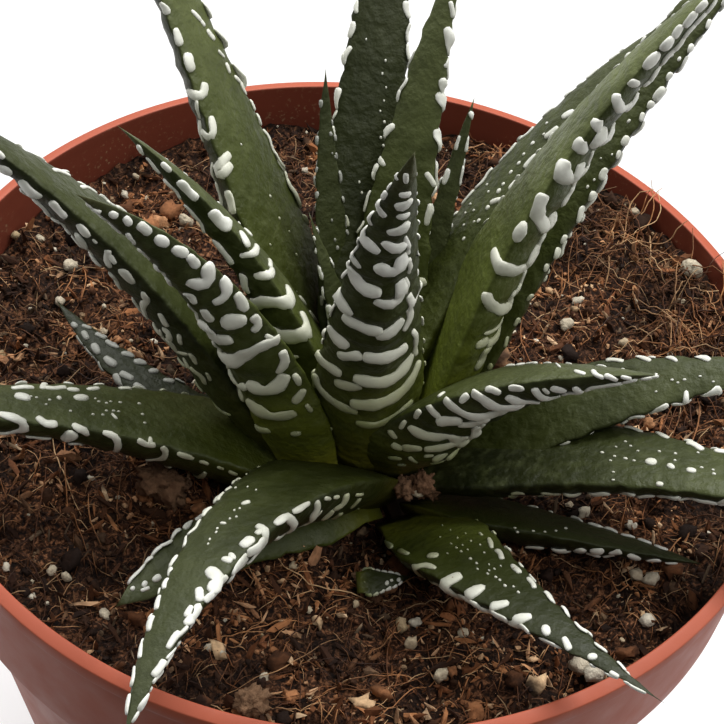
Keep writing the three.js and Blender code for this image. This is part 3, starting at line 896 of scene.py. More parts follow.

# %% [markdown]
# ### Leaf skin finish
# The skin is deep green and yellow green at the clasping foot. The upper face is coloured paler and greyer
# than the underside. It has a soft satin gloss, faint clouds and pale flecks. Most leaves also get painted
# light and shade of their own: a factor on the colour near the foot and one towards the tip, painted shade
# below 1 and painted light above 1. The pale flecks follow the tip's factor.

# %% Leaf skin finish
UNDER_TONES = ((0.0, (0.13, 0.12, 0.010)), (0.14, (0.052, 0.060, 0.005)), (0.34, (0.026, 0.032, 0.005)),
               (0.88, (0.026, 0.033, 0.009)), (1.0, (0.08, 0.08, 0.03)))
UPPER_TONES = ((0.0, (0.11, 0.115, 0.008)), (0.15, (0.046, 0.056, 0.006)), (0.38, (0.044, 0.054, 0.010)),
               (0.62, (0.066, 0.077, 0.026)), (1.0, (0.076, 0.087, 0.036)))
CLOUD_TONE = (0.010, 0.014, 0.002)
FLECK_TONE = (0.105, 0.12, 0.045)
# Painted light and shade for each leaf: factors on the skin colour at the foot and towards the tip. Below 1
# they paint shade, above 1 they paint light.
LEAF_PAINTED_LIGHT = {
    "leaf_right_low": (0.12, 1.1), "leaf_right_mid": (0.6, 0.85), "leaf_back_upright": (1.3, 1.45),
    "leaf_right_tall": (2.8, 1.9), "leaf_back_left": (0.8, 1.5), "leaf_back": (0.5, 0.5),
    "leaf_front_over_rim": (0.65, 0.72), "leaf_front_right": (1.15, 0.36), "leaf_left_long": (0.8, 0.68),
    "leaf_left_short": (0.3, 0.3), "leaf_left_front": (2.6, 1.0), "leaf_centre": (1.5, 1.0),
    "leaf_left_inner": (1.6, 1.15), "leaf_right_short": (0.6, 0.6), "leaf_young_left": (0.8, 0.7),
}


def shaded(stops, foot_painted_light, tip_painted_light):
    """The stops with their colours scaled for painted light and shade: by the first factor near the foot and
    by the second from 0.65 upward.
    """
    changed = []
    for place, colour in stops:
        share = min(1, max(0, (place - 0.15) / 0.5))
        tone = foot_painted_light + (tip_painted_light - foot_painted_light) * share
        changed.append((place, tuple(tone * c for c in colour)))
    return changed


def skin_paint(name, foot_painted_light=1.0, tip_painted_light=1.0):
    """Place y is 0 on the keel, 0.5 at the margins and 1 in the middle of the upper face."""
    paint = Paint(name, roughness=0.5, specular=0.24)
    along, round_ = paint.place()
    under = paint.ramp(along, *shaded(UNDER_TONES, foot_painted_light, tip_painted_light))
    above = paint.ramp(along, *shaded(UPPER_TONES, foot_painted_light, tip_painted_light))
    base = paint.mix(paint.ramp(round_, (0.485, 0.0), (0.52, 1.0)), under, above)
    cloud = paint.ramp(paint.noise(130, 5), (0.36, 0.0), (0.66, 0.75))
    clouded = paint.mix(cloud, base, paint.mix(0.55, base, CLOUD_TONE))
    fleck = paint.ramp(paint.noise(620, 5), (0.46, 0.0), (0.72, 0.6))
    # The pale flecks are scaled with the painted light towards the tip.
    pale = tuple(min(1.3, tip_painted_light) * c for c in FLECK_TONE)
    paint.colour(paint.mix(fleck, clouded, paint.mix(0.45, clouded, pale)))
    paint.rough(paint.ramp(paint.noise(350, 4), (0.3, 0.40), (0.8, 0.60)))
    paint.bump(paint.noise(820, 5), 0.7, 0.0005)
    return paint.material


SKIN = skin_paint("leaf_skin")
print("leaves with a tone of their own:", len(LEAF_PAINTED_LIGHT))

# %% [markdown]
# ### Tubercle finish
# The tubercles are milky white and a little greener near the foot, and there they are also painted darker,
# as painted shade where the leaves hide them from the light. Age leaves a few brown specks on them. On two
# leaves that others shade they are darkened further with painted shade.

# %% Tubercle finish
def tubercle_paint(name, shade_share):
    paint = Paint(name, roughness=0.45, specular=0.35)
    along, _ = paint.place()
    # Painted shade towards the foot: the ramp runs from a dark green up to milky white, with some real green.
    tone = paint.ramp(along, (0.10, (0.10, 0.12, 0.035)), (0.18, (0.22, 0.24, 0.10)),
                      (0.27, (0.40, 0.41, 0.25)), (0.40, (0.66, 0.66, 0.55)), (0.7, (0.80, 0.80, 0.73)))
    mottled = paint.mix(paint.ramp(paint.noise(420, 3), (0.4, 0.0), (0.75, 0.45)), tone, (0.48, 0.49, 0.38))
    specks = paint.ramp(paint.cells(650), (0.05, 1.0), (0.10, 0.0))
    seldom = paint.ramp(paint.noise(240, 1), (0.60, 0.0), (0.66, 0.8))
    speckled = paint.mix(paint.math("MULTIPLY", specks, seldom), mottled, (0.16, 0.06, 0.025))
    # Painted shade on shaded leaves: the colour is mixed towards a dark grey green by the given share.
    paint.colour(paint.mix(shade_share, speckled, (0.03, 0.034, 0.02)))
    paint.bump(paint.noise(1800, 2), 0.15, 0.0002)
    return paint.material


WHITE = tubercle_paint("tubercle_white", 0.0)
# Tubercles with painted shade, for two leaves that stand in the shade of others.
PAINTED_SHADE_WHITE = tubercle_paint("tubercle_painted_shade", 0.6)
PAINTED_SHADE_LEAVES = ("leaf_left_short", "leaf_young_left")
print("duller leaves:", PAINTED_SHADE_LEAVES)

# %% [markdown]
# ### Tubercles read from the picture
# The picture shows many margins and undersides from close by, so their tubercles are laid where it has
# them. Each row of numbers is one stroke: half its width in millimetres, then one or more points of the
# picture. Further on, each point is laid on the place of the leaf that shows there. The three leaves in
# the middle come first. They show their banded undersides, with bars that run right across.

# %% Leaves in the middle
SEEN_STROKES = {}
SEEN_STROKES["leaf_centre"] = {
    "keel row": [(0.26, 406, 174, 406, 182), (0.38, 404, 194, 407, 195), (0.46, 403, 206, 407, 204),
        (0.5, 401, 216, 406, 216), (0.6, 394, 232, 398, 231, 404, 227),
        (0.66, 388, 245, 394, 249, 402, 247), (0.55, 383, 269, 388, 272, 396, 270, 401, 266, 401, 259),
        (0.58, 401, 285, 401, 295, 395, 303, 382, 303), (0.52, 384, 335, 391, 332, 398, 324),
        (0.55, 406, 326, 411, 314, 409, 298)],
    "left row": [(0.2, 396, 174, 396, 178), (0.26, 391, 185, 389, 188), (0.34, 386, 193, 383, 197),
        (0.5, 379, 204, 380, 210, 382, 213), (0.4, 371, 214, 370, 222),
        (0.64, 361, 230, 363, 238, 369, 245, 374, 248), (0.38, 352, 254, 355, 262),
        (0.82, 352, 270, 357, 281, 365, 289, 373, 292), (0.62, 336, 292, 341, 302, 346, 309),
        (0.62, 348, 319, 358, 324, 367, 329, 375, 331), (0.76, 333, 331, 340, 340)],
    "bars": [(0.62, 370, 358, 385, 357, 397, 354, 402, 350), (0.68, 343, 356, 357, 356),
        (0.5, 316, 353, 322, 361, 331, 368, 336, 371),
        (0.58, 361, 380, 376, 382, 392, 379, 401, 372, 409, 360), (0.58, 340, 384, 355, 386),
        (0.56, 358, 405, 376, 404, 394, 397, 408, 385, 416, 367),
        (0.5, 316, 380, 324, 393, 338, 404, 350, 409), (0.42, 362, 424, 382, 423, 397, 415, 408, 405)],
    "margins": [(0.26, 356, 238, 350, 249), (0.26, 345, 262, 339, 274), (0.36, 331, 304, 328, 312),
        (0.42, 323, 331, 321, 336), (0.33, 313, 372, 315, 384), (0.32, 405, 238, 408, 252),
        (0.38, 409, 260, 409, 271), (0.32, 406, 279, 406, 291), (0.46, 414, 332, 416, 342, 415, 352)],
}
SEEN_STROKES["leaf_left_front"] = {
    "right row": [(0.24, 94, 209, 97, 211), (0.42, 112, 214, 115, 216), (0.46, 126, 219, 129, 223),
        (0.56, 141, 226, 147, 231), (0.6, 160, 240, 165, 244), (0.6, 176, 250, 183, 253),
        (0.55, 191, 258, 195, 264), (0.74, 207, 269, 209, 278, 203, 285, 194, 284),
        (0.64, 223, 281, 228, 290, 224, 298, 218, 301), (0.64, 238, 297, 243, 306),
        (0.9, 230, 322, 237, 322), (0.56, 254, 317, 259, 323, 256, 329), (0.36, 268, 336, 273, 341),
        (0.58, 283, 354, 286, 361, 280, 370), (0.4, 295, 377, 299, 384), (0.55, 302, 393, 297, 400),
        (0.32, 308, 406, 311, 410)],
    "bars": [(0.76, 224, 358, 236, 359, 250, 351, 262, 345, 272, 342), (0.46, 213, 344, 217, 356, 222, 368),
        (0.68, 254, 387, 264, 391, 276, 388, 282, 381), (0.56, 252, 406, 262, 413, 275, 416, 288, 415),
        (0.46, 258, 428, 266, 431), (0.26, 294, 434, 298, 434)],
    "left row": [(0.26, 83, 211, 89, 213), (0.26, 99, 218, 106, 222), (0.3, 112, 227, 119, 231),
        (0.3, 128, 235, 134, 243), (0.28, 139, 249, 149, 258), (0.38, 156, 266, 164, 274),
        (0.46, 168, 279, 176, 284), (0.46, 187, 294, 193, 301), (0.58, 204, 312, 209, 318),
        (0.26, 188, 306, 198, 320), (0.62, 205, 327, 213, 336, 223, 339), (0.38, 227, 376, 230, 384),
        (0.6, 237, 379, 243, 386), (0.46, 234, 390, 242, 396)],
}
SEEN_STROKES["leaf_left_inner"] = {
    "right row": [(0.36, 164, 165, 168, 169), (0.46, 182, 184, 188, 191, 194, 196),
        (0.72, 216, 216, 220, 222, 226, 224), (0.4, 243, 236, 246, 243),
        (0.46, 249, 254, 255, 252, 257, 247), (0.36, 270, 261, 270, 267), (0.55, 264, 275, 272, 273),
        (0.78, 254, 304, 264, 301, 274, 302, 284, 303, 291, 298, 289, 291),
        (0.85, 275, 332, 286, 338, 299, 336, 308, 328, 304, 319)],
    "margins": [(0.24, 139, 147, 142, 153), (0.28, 148, 161, 155, 171), (0.3, 164, 184, 174, 197),
        (0.3, 187, 209, 193, 220, 201, 229), (0.36, 217, 243, 223, 251, 230, 259),
        (0.5, 244, 278, 246, 288), (0.24, 248, 229, 251, 232), (0.28, 301, 298, 304, 302),
        (0.33, 311, 313, 318, 321)],
}
print("leaves with strokes:", len(SEEN_STROKES))

# %% [markdown]
# The tall leaf on the right has a row of hooks and ovals down its keel. The others lie low and show
# their upper face, with beads at both margins and a few dots.

# %% Leaves to the right
SEEN_STROKES["leaf_right_front"] = {
    "upper row": [(0.33, 442, 394, 440, 396), (0.46, 419, 412, 416, 417), (0.38, 404, 422, 401, 427),
        (0.5, 391, 433, 394, 436), (0.5, 395, 445, 398, 447), (0.32, 391, 457, 398, 458),
        (0.28, 400, 464, 403, 464), (0.55, 429, 407, 435, 414), (0.54, 466, 396, 463, 400),
        (0.52, 489, 389, 496, 391), (0.52, 513, 388, 521, 388), (0.38, 544, 390, 547, 392),
        (0.52, 556, 389, 561, 390), (0.54, 576, 388, 580, 393), (0.4, 611, 391, 617, 391),
        (0.38, 628, 388, 634, 387), (0.34, 645, 384, 650, 383), (0.26, 655, 384, 657, 383),
        (0.26, 664, 378, 667, 375)],
    "bars": [(0.56, 447, 402, 456, 409, 470, 416, 485, 416, 498, 413, 504, 409),
        (0.56, 477, 395, 484, 400, 493, 407, 507, 408, 518, 406), (0.52, 510, 399, 522, 403, 535, 402),
        (0.54, 536, 390, 540, 396, 549, 399, 557, 399), (0.4, 568, 399, 580, 401),
        (0.46, 592, 392, 598, 397, 608, 400, 618, 397), (0.28, 630, 396, 634, 394),
        (0.68, 444, 421, 454, 421), (0.55, 464, 424, 475, 424, 484, 420),
        (0.58, 413, 430, 424, 435, 440, 437, 455, 436, 468, 431, 477, 428),
        (0.38, 468, 440, 476, 434, 483, 425), (0.6, 408, 447, 415, 448),
        (0.55, 430, 448, 442, 447, 453, 443, 464, 437), (0.34, 411, 458, 416, 462),
        (0.46, 437, 459, 443, 455), (0.42, 450, 457, 456, 451), (0.26, 460, 449, 463, 444),
        (0.22, 427, 456, 431, 455)],
    "upper margin": [(0.22, 508, 357, 513, 356), (0.22, 517, 356, 522, 357), (0.26, 527, 358, 535, 361),
        (0.2, 556, 364, 560, 367), (0.32, 576, 371, 584, 374), (0.36, 594, 372, 602, 377),
        (0.33, 607, 376, 615, 379), (0.26, 624, 377, 630, 378)],
}
SEEN_STROKES["leaf_right_tall"] = {
    "keel row": [(0.38, 700, 8, 704, 4), (0.42, 688, 22, 692, 17), (0.42, 676, 34, 679, 29),
        (0.46, 665, 47, 669, 42), (0.48, 648, 65, 654, 58), (0.52, 631, 83, 634, 83),
        (0.52, 616, 98, 619, 105, 621, 111, 628, 106), (0.6, 597, 122, 598, 126),
        (0.66, 598, 142, 601, 137), (0.68, 578, 144, 580, 148),
        (0.8, 563, 168, 563, 176, 569, 180, 576, 177, 579, 170),
        (0.75, 541, 200, 537, 212, 541, 222, 547, 228, 550, 218), (0.58, 518, 238, 522, 228),
        (0.6, 497, 263, 504, 269, 514, 271, 524, 267, 531, 259, 534, 251),
        (0.62, 487, 298, 492, 306, 502, 310, 510, 304, 513, 296), (0.46, 499, 329, 497, 337, 490, 343),
        (0.52, 480, 345, 484, 343), (0.42, 485, 352, 482, 360, 478, 364)],
    "right margin": [(0.36, 713, 14, 716, 8), (0.38, 703, 26, 707, 20), (0.4, 692, 38, 696, 31),
        (0.42, 682, 49, 686, 42), (0.42, 672, 62, 676, 55), (0.4, 664, 77, 661, 84),
        (0.3, 656, 88, 657, 92), (0.46, 640, 112, 645, 104), (0.52, 620, 140, 617, 154),
        (0.22, 614, 126, 610, 137), (0.26, 588, 166, 592, 153), (0.33, 592, 182, 589, 197),
        (0.28, 598, 168, 594, 176), (0.38, 583, 199, 578, 206), (0.34, 571, 190, 565, 200),
        (0.36, 568, 222, 569, 228), (0.42, 567, 240, 570, 234), (0.4, 550, 271, 553, 260, 557, 248),
        (0.38, 537, 286, 540, 279), (0.38, 534, 299, 533, 293), (0.22, 523, 308, 527, 303)],
}
SEEN_STROKES["leaf_right_mid"] = {
    "near margin": [(0.42, 634, 421, 639, 417), (0.5, 659, 413, 663, 407), (0.35, 676, 408, 679, 405),
        (0.4, 685, 402, 687, 396), (0.5, 709, 398, 716, 391)],
    "far margin": [(0.25, 608, 360, 621, 361), (0.3, 638, 357, 648, 360), (0.3, 667, 355, 674, 360),
        (0.35, 698, 355, 706, 359)],
    "dots": [(0.22, 684, 380), (0.2, 672, 380), (0.16, 678, 383), (0.18, 700, 376), (0.16, 655, 392),
        (0.16, 712, 382)],
}
SEEN_STROKES["leaf_right_low"] = {
    "near margin": [(0.3, 515, 493, 521, 493), (0.3, 544, 493, 550, 493), (0.4, 568, 494, 576, 494),
        (0.5, 594, 494, 604, 493), (0.3, 590, 499, 604, 499), (0.5, 624, 495, 632, 494),
        (0.4, 642, 499, 650, 499), (0.42, 662, 498, 676, 498), (0.45, 697, 501, 712, 502),
        (0.25, 681, 505, 700, 505), (0.28, 553, 497, 558, 497)],
    "far margin": [(0.2, 539, 418, 543, 419), (0.2, 560, 420, 564, 420), (0.2, 580, 421, 586, 423),
        (0.26, 603, 421, 611, 424), (0.3, 628, 426, 639, 431), (0.32, 658, 432, 666, 437),
        (0.38, 690, 443, 699, 448), (0.35, 719, 451, 724, 452)],
    "dots": [(0.42, 649, 461, 651, 462), (0.36, 670, 466, 672, 467), (0.34, 690, 470, 692, 470),
        (0.28, 658, 484, 660, 484), (0.28, 625, 458), (0.25, 602, 453), (0.2, 614, 456), (0.18, 610, 460),
        (0.2, 633, 461), (0.18, 613, 472), (0.2, 613, 480), (0.15, 616, 447), (0.18, 625, 442),
        (0.18, 630, 446), (0.16, 637, 451), (0.2, 659, 452), (0.18, 674, 460), (0.18, 697, 452),
        (0.22, 702, 468), (0.24, 714, 474), (0.18, 712, 470), (0.2, 675, 454)],
}
SEEN_STROKES["leaf_right_short"] = {
    "near margin": [(0.4, 530, 553, 538, 555), (0.5, 554, 554, 561, 551), (0.55, 576, 553, 582, 550),
        (0.52, 595, 552, 599, 551), (0.46, 613, 553, 618, 552), (0.38, 631, 556, 636, 558),
        (0.3, 650, 561, 657, 560), (0.25, 668, 564, 675, 564), (0.28, 588, 562, 596, 561),
        (0.25, 607, 559, 612, 558), (0.28, 561, 556, 569, 559)],
    "far margin": [(0.3, 592, 521, 598, 525), (0.3, 608, 525, 615, 529), (0.3, 625, 530, 630, 534),
        (0.3, 642, 537, 648, 541), (0.28, 658, 545, 664, 549), (0.2, 674, 554, 680, 557)],
    "dots": [(0.18, 515, 528), (0.2, 517, 532), (0.18, 533, 531), (0.15, 545, 532), (0.15, 556, 531),
        (0.2, 565, 528)],
}
print("leaves with strokes:", len(SEEN_STROKES))

# %% [markdown]
# The leaves in front bend down over the mix, and one of them over the rim. Their beads crowd where the
# margin turns, and fine dots run up the middle of the upper face.

# %% Leaves in front
SEEN_STROKES["leaf_front_right"] = {
    "left margin": [(0.4, 384, 543, 391, 547), (0.36, 400, 551, 407, 554),
        (0.45, 433, 568, 424, 564, 416, 568, 421, 578, 434, 587), (0.46, 431, 556, 434, 555),
        (0.6, 453, 579, 446, 583, 450, 592, 462, 601, 473, 605), (0.7, 468, 595, 474, 592),
        (0.6, 482, 609, 490, 614, 503, 619), (0.6, 494, 606, 502, 604),
        (0.62, 526, 617, 517, 619, 516, 627, 524, 631), (0.6, 546, 629, 547, 633),
        (0.4, 544, 639, 552, 645), (0.5, 565, 640, 568, 647), (0.45, 591, 657, 594, 657),
        (0.35, 612, 673, 617, 676), (0.32, 632, 687, 642, 692)],
    "right margin": [(0.35, 489, 539, 491, 547), (0.42, 498, 551, 502, 558), (0.42, 513, 566, 519, 572),
        (0.4, 529, 579, 534, 587), (0.38, 547, 594, 553, 601), (0.38, 565, 608, 570, 613),
        (0.35, 581, 622, 586, 628), (0.3, 601, 641, 606, 648), (0.25, 621, 661, 626, 667),
        (0.22, 480, 533, 482, 535)],
    "dots": [(0.18, 442, 525), (0.15, 450, 530), (0.15, 440, 537), (0.18, 457, 538), (0.2, 471, 541),
        (0.2, 451, 543), (0.24, 456, 547), (0.15, 462, 545), (0.24, 461, 552), (0.18, 484, 553),
        (0.26, 470, 559), (0.22, 476, 563), (0.18, 478, 569), (0.18, 489, 571), (0.2, 494, 569),
        (0.22, 487, 574), (0.25, 495, 577), (0.22, 499, 580), (0.26, 505, 585), (0.26, 518, 592),
        (0.15, 466, 533), (0.15, 447, 553), (0.15, 468, 549), (0.18, 480, 545), (0.15, 500, 566),
        (0.15, 489, 565), (0.18, 513, 587)],
}
SEEN_STROKES["leaf_front_over_rim"] = {
    "right margin": [(0.33, 326, 499, 330, 499), (0.33, 335, 497, 338, 497),
        (0.4, 346, 497, 344, 503, 338, 507), (0.28, 357, 495, 362, 494), (0.28, 359, 500, 352, 507),
        (0.45, 332, 512, 325, 518), (0.4, 340, 514, 334, 518), (0.45, 308, 504, 301, 508, 295, 511),
        (0.62, 317, 504, 318, 510, 311, 517, 302, 524),
        (0.7, 278, 522, 283, 517, 288, 521, 284, 531, 273, 538),
        (0.52, 263, 530, 265, 537, 262, 546, 254, 553), (0.45, 258, 533, 264, 529),
        (0.8, 246, 543, 249, 540), (0.5, 226, 560, 229, 560), (0.5, 231, 556, 233, 557),
        (0.5, 243, 558, 239, 564, 234, 571), (0.7, 213, 573, 215, 576, 219, 581, 214, 588),
        (0.4, 224, 579, 216, 590, 208, 598), (0.65, 199, 592, 200, 597), (0.5, 190, 609, 187, 615),
        (0.38, 198, 609, 194, 617, 189, 621), (0.48, 177, 635, 173, 640, 169, 646),
        (0.28, 187, 627, 180, 634), (0.28, 175, 649, 168, 657), (0.55, 163, 662, 160, 668, 155, 674),
        (0.28, 159, 676, 154, 681), (0.5, 145, 699, 142, 705), (0.33, 138, 716, 135, 720)],
    "left margin": [(0.35, 222, 493, 218, 499), (0.35, 209, 509, 204, 515), (0.3, 195, 519, 190, 528),
        (0.38, 184, 538, 181, 544), (0.38, 174, 557, 171, 564), (0.32, 170, 571, 166, 573),
        (0.42, 166, 580, 164, 587), (0.4, 159, 598, 157, 608), (0.42, 152, 618, 149, 628),
        (0.4, 142, 646, 140, 656), (0.38, 133, 672, 131, 682), (0.36, 127, 697, 123, 710),
        (0.28, 229, 487, 227, 490), (0.22, 234, 480, 232, 483), (0.2, 246, 472), (0.2, 238, 476)],
    "dots": [(0.28, 244, 503, 247, 502), (0.2, 240, 508), (0.18, 234, 510), (0.2, 236, 488),
        (0.22, 222, 523, 225, 523), (0.18, 230, 518), (0.2, 236, 517), (0.2, 217, 528), (0.22, 216, 532),
        (0.2, 210, 539), (0.18, 208, 543), (0.16, 257, 490), (0.15, 248, 487)],
}
SEEN_STROKES["leaf_front_short"] = {
    "left margin": [(0.35, 198, 519, 202, 517), (0.38, 190, 522, 186, 527), (0.38, 177, 531, 173, 535),
        (0.4, 167, 541, 163, 543), (0.4, 157, 549, 152, 551), (0.35, 146, 557, 143, 560),
        (0.33, 138, 565, 133, 570), (0.33, 130, 573, 127, 578)],
    "inner row": [(0.42, 158, 577, 155, 579), (0.38, 145, 583, 144, 585), (0.35, 133, 588),
        (0.26, 148, 588, 143, 590)],
}
print("leaves with strokes:", len(SEEN_STROKES))

# %% [markdown]
# The long leaf on the left shows its underside with two rows of ovals. Below it one lies low with a
# margin of hooked bars, and a short one stands in its shade.

# %% Leaves to the left
SEEN_STROKES["leaf_left_low"] = {
    "near margin": [(0.62, 5, 415, 14, 417, 23, 424, 24, 430, 12, 433), (0.52, 40, 420, 46, 424, 53, 424),
        (0.8, 71, 434, 66, 438), (0.35, 72, 444, 79, 448), (0.45, 77, 427, 85, 432),
        (0.48, 105, 433, 112, 435, 117, 438, 118, 446, 115, 452), (0.33, 140, 441, 147, 445, 152, 445),
        (0.3, 150, 440, 151, 443), (0.45, 163, 448, 166, 452, 163, 459, 150, 462),
        (0.33, 180, 454, 190, 457), (0.22, 201, 461, 206, 463), (0.2, 218, 467, 223, 469),
        (0.2, 231, 472, 236, 474), (0.35, 1, 434, 8, 437), (0.3, 30, 439, 47, 443)],
    "far margin": [(0.3, 15, 388, 30, 388), (0.3, 48, 388, 62, 388), (0.42, 44, 384, 42, 388),
        (0.3, 70, 390, 76, 390), (0.3, 90, 389, 97, 388), (0.25, 121, 389, 128, 389)],
    "dots": [(0.52, 21, 397, 24, 397), (0.3, 58, 398, 60, 398), (0.48, 79, 398, 84, 398), (0.18, 36, 398),
        (0.2, 41, 399, 44, 398), (0.2, 49, 400), (0.15, 31, 397), (0.18, 72, 411), (0.2, 99, 402),
        (0.2, 106, 403), (0.18, 112, 402), (0.24, 121, 403), (0.24, 140, 404), (0.2, 93, 415),
        (0.18, 103, 415), (0.2, 107, 411), (0.22, 113, 411), (0.2, 119, 412), (0.2, 113, 415, 115, 418),
        (0.2, 144, 423), (0.22, 143, 414), (0.16, 47, 405), (0.16, 96, 399)],
}
SEEN_STROKES["leaf_left_long"] = {
    "lower rows": [(0.75, 1, 168, 6, 171), (0.58, 26, 186, 34, 194), (0.56, 36, 203, 45, 211),
        (0.3, 20, 194, 30, 205), (0.46, 54, 205, 58, 209, 63, 214), (0.33, 53, 219, 57, 226, 59, 231),
        (0.22, 60, 230, 66, 235), (0.45, 81, 227, 86, 234), (0.58, 79, 237, 84, 244),
        (0.46, 73, 242, 75, 248), (0.5, 108, 252, 107, 260, 109, 264), (0.33, 111, 257, 114, 261),
        (0.5, 87, 259, 90, 268), (0.22, 76, 256, 80, 266), (0.6, 124, 272, 130, 279),
        (0.6, 112, 275, 116, 282), (0.46, 104, 284, 105, 293),
        (0.5, 144, 295, 148, 302, 142, 304, 145, 314), (0.42, 125, 308, 128, 316),
        (0.22, 129, 322, 133, 329), (0.38, 161, 317, 166, 324), (0.38, 166, 330, 170, 333, 169, 338),
        (0.46, 169, 341, 175, 349), (0.22, 161, 331, 163, 339), (0.4, 144, 332, 148, 340),
        (0.33, 156, 346, 159, 354), (0.33, 179, 337, 181, 343), (0.33, 191, 355, 195, 361),
        (0.22, 185, 360, 189, 367), (0.33, 193, 370, 200, 375, 204, 381), (0.3, 174, 365, 179, 373),
        (0.26, 207, 374, 210, 379), (0.24, 192, 386, 196, 394), (0.18, 94, 241, 96, 243)],
    "upper margin": [(0.33, 55, 170, 62, 172, 68, 175), (0.28, 82, 187, 88, 187, 97, 190),
        (0.28, 110, 201, 115, 201), (0.3, 121, 205, 129, 207), (0.3, 142, 218, 150, 220),
        (0.22, 152, 222, 155, 228), (0.26, 163, 234, 172, 238)],
}
SEEN_STROKES["leaf_left_short"] = {
    "lower rows": [(0.42, 74, 325, 75, 326), (0.45, 84, 333, 86, 337), (0.5, 94, 346, 97, 351),
        (0.5, 107, 359, 113, 364), (0.45, 123, 374, 130, 378), (0.4, 137, 386, 143, 389),
        (0.3, 116, 377, 120, 384), (0.24, 86, 350, 90, 356), (0.22, 77, 338, 81, 345),
        (0.22, 97, 364, 102, 371)],
    "upper margin": [(0.24, 84, 326, 89, 328), (0.26, 98, 335, 103, 337), (0.26, 108, 342, 116, 347),
        (0.32, 126, 354, 131, 355), (0.32, 138, 362, 143, 363), (0.32, 152, 371, 156, 371),
        (0.3, 166, 380, 171, 381), (0.2, 165, 394)],
}
print("leaves with strokes:", len(SEEN_STROKES))

# %% [markdown]
# The leaves at the back stand upright and show little but their margins, with beads set wide apart.

# %% Leaves at the back
SEEN_STROKES["leaf_back_left"] = {
    "left rows": [(0.55, 163, 6, 167, 12), (0.55, 176, 31, 180, 43), (0.72, 189, 60, 190, 65),
        (0.7, 205, 88, 203, 94, 196, 97, 190, 92), (0.22, 197, 103, 199, 113, 200, 118),
        (0.52, 212, 120, 214, 132, 209, 140, 204, 133), (0.28, 200, 124, 203, 138),
        (0.46, 223, 160, 217, 165, 217, 172, 222, 174, 225, 170), (0.46, 216, 186, 219, 195, 222, 205),
        (0.5, 229, 197, 232, 207), (0.33, 213, 165, 214, 180)],
    "right margin": [(0.28, 192, 11, 199, 18), (0.26, 202, 22, 204, 25), (0.33, 209, 33, 213, 38),
        (0.22, 219, 52, 223, 56), (0.22, 226, 64, 230, 72), (0.26, 236, 78, 240, 82),
        (0.26, 242, 85, 247, 92), (0.26, 251, 101, 256, 108), (0.26, 259, 114, 263, 122),
        (0.28, 266, 132, 272, 141), (0.28, 273, 143, 276, 149), (0.26, 280, 162, 285, 169),
        (0.26, 286, 173, 292, 181), (0.28, 296, 195, 302, 203)],
    "dots": [(0.22, 270, 196), (0.22, 279, 219), (0.18, 242, 146), (0.2, 297, 256), (0.18, 271, 246),
        (0.15, 289, 231)],
}
SEEN_STROKES["leaf_back"] = {
    "left margin": [(0.38, 355, 3, 356, 10), (0.38, 353, 24, 350, 36), (0.33, 349, 50, 344, 62),
        (0.38, 338, 93, 335, 105), (0.22, 333, 126, 334, 137), (0.22, 339, 175, 340, 183),
        (0.28, 345, 218, 348, 224)],
    "right margin": [(0.38, 406, 3, 408, 16), (0.3, 410, 25, 412, 38), (0.33, 413, 48, 412, 58)],
    "dots": [(0.22, 385, 60), (0.2, 383, 73), (0.15, 386, 88), (0.15, 380, 111), (0.24, 384, 123),
        (0.24, 380, 138), (0.24, 383, 145), (0.2, 360, 183), (0.22, 361, 193), (0.15, 366, 40),
        (0.15, 384, 100)],
}
SEEN_STROKES["leaf_back_upright"] = {
    "left margin": [(0.33, 404, 79, 400, 86), (0.33, 398, 91, 396, 97), (0.42, 391, 127, 386, 134),
        (0.46, 380, 160, 382, 162), (0.33, 376, 168, 374, 174), (0.28, 369, 193, 364, 208)],
    "right margin": [(0.38, 451, 3, 453, 15), (0.42, 449, 32, 448, 50), (0.33, 450, 60, 446, 66),
        (0.42, 443, 84, 444, 91), (0.46, 441, 99, 445, 107), (0.46, 437, 134, 443, 147),
        (0.46, 428, 174, 434, 185), (0.26, 436, 189, 436, 195), (0.5, 430, 207, 429, 212, 427, 222),
        (0.42, 413, 245, 416, 250), (0.42, 408, 258, 417, 257), (0.28, 406, 238, 408, 250),
        (0.26, 409, 262, 411, 272), (0.7, 410, 281, 424, 283)],
}
SEEN_STROKES["leaf_back_right"] = {
    "left margin": [(0.25, 463, 185, 456, 195), (0.3, 483, 163, 475, 167, 469, 175),
        (0.25, 506, 139, 495, 146), (0.22, 520, 120, 514, 126), (0.22, 545, 101, 537, 104),
        (0.22, 563, 84, 557, 88), (0.22, 590, 65, 583, 71), (0.2, 612, 48, 606, 53)],
    "right row": [(0.33, 571, 112, 565, 116), (0.3, 556, 129, 548, 135),
        (0.3, 540, 154, 532, 158, 526, 166), (0.33, 515, 183, 511, 188)],
    "dots": [(0.32, 533, 143), (0.32, 518, 164), (0.32, 510, 173), (0.28, 503, 185), (0.28, 500, 206),
        (0.4, 498, 192), (0.33, 493, 201, 499, 199), (0.36, 488, 208), (0.32, 478, 221), (0.28, 486, 234),
        (0.28, 494, 237), (0.28, 464, 239), (0.25, 473, 254), (0.22, 490, 245), (0.22, 524, 154),
        (0.2, 543, 135), (0.2, 546, 124), (0.18, 471, 204), (0.18, 465, 214), (0.18, 474, 222),
        (0.18, 464, 225), (0.18, 473, 211), (0.18, 488, 192), (0.18, 487, 185)],
}
SEEN_STROKES["leaf_young_right"] = {
    "margins": [(0.22, 471, 112, 472, 118), (0.28, 459, 138, 456, 148), (0.28, 468, 139, 466, 151),
        (0.42, 448, 171, 444, 182), (0.28, 464, 168, 461, 183)],
}
print("leaves with strokes:", len(SEEN_STROKES))

# %% [markdown]
# ### Places of the leaf in the picture
# The camera projects every place on a leaf into the picture. Skin that turns away from the camera looks
# narrower than it is there, so the same projection also sets right the width of a stroke.

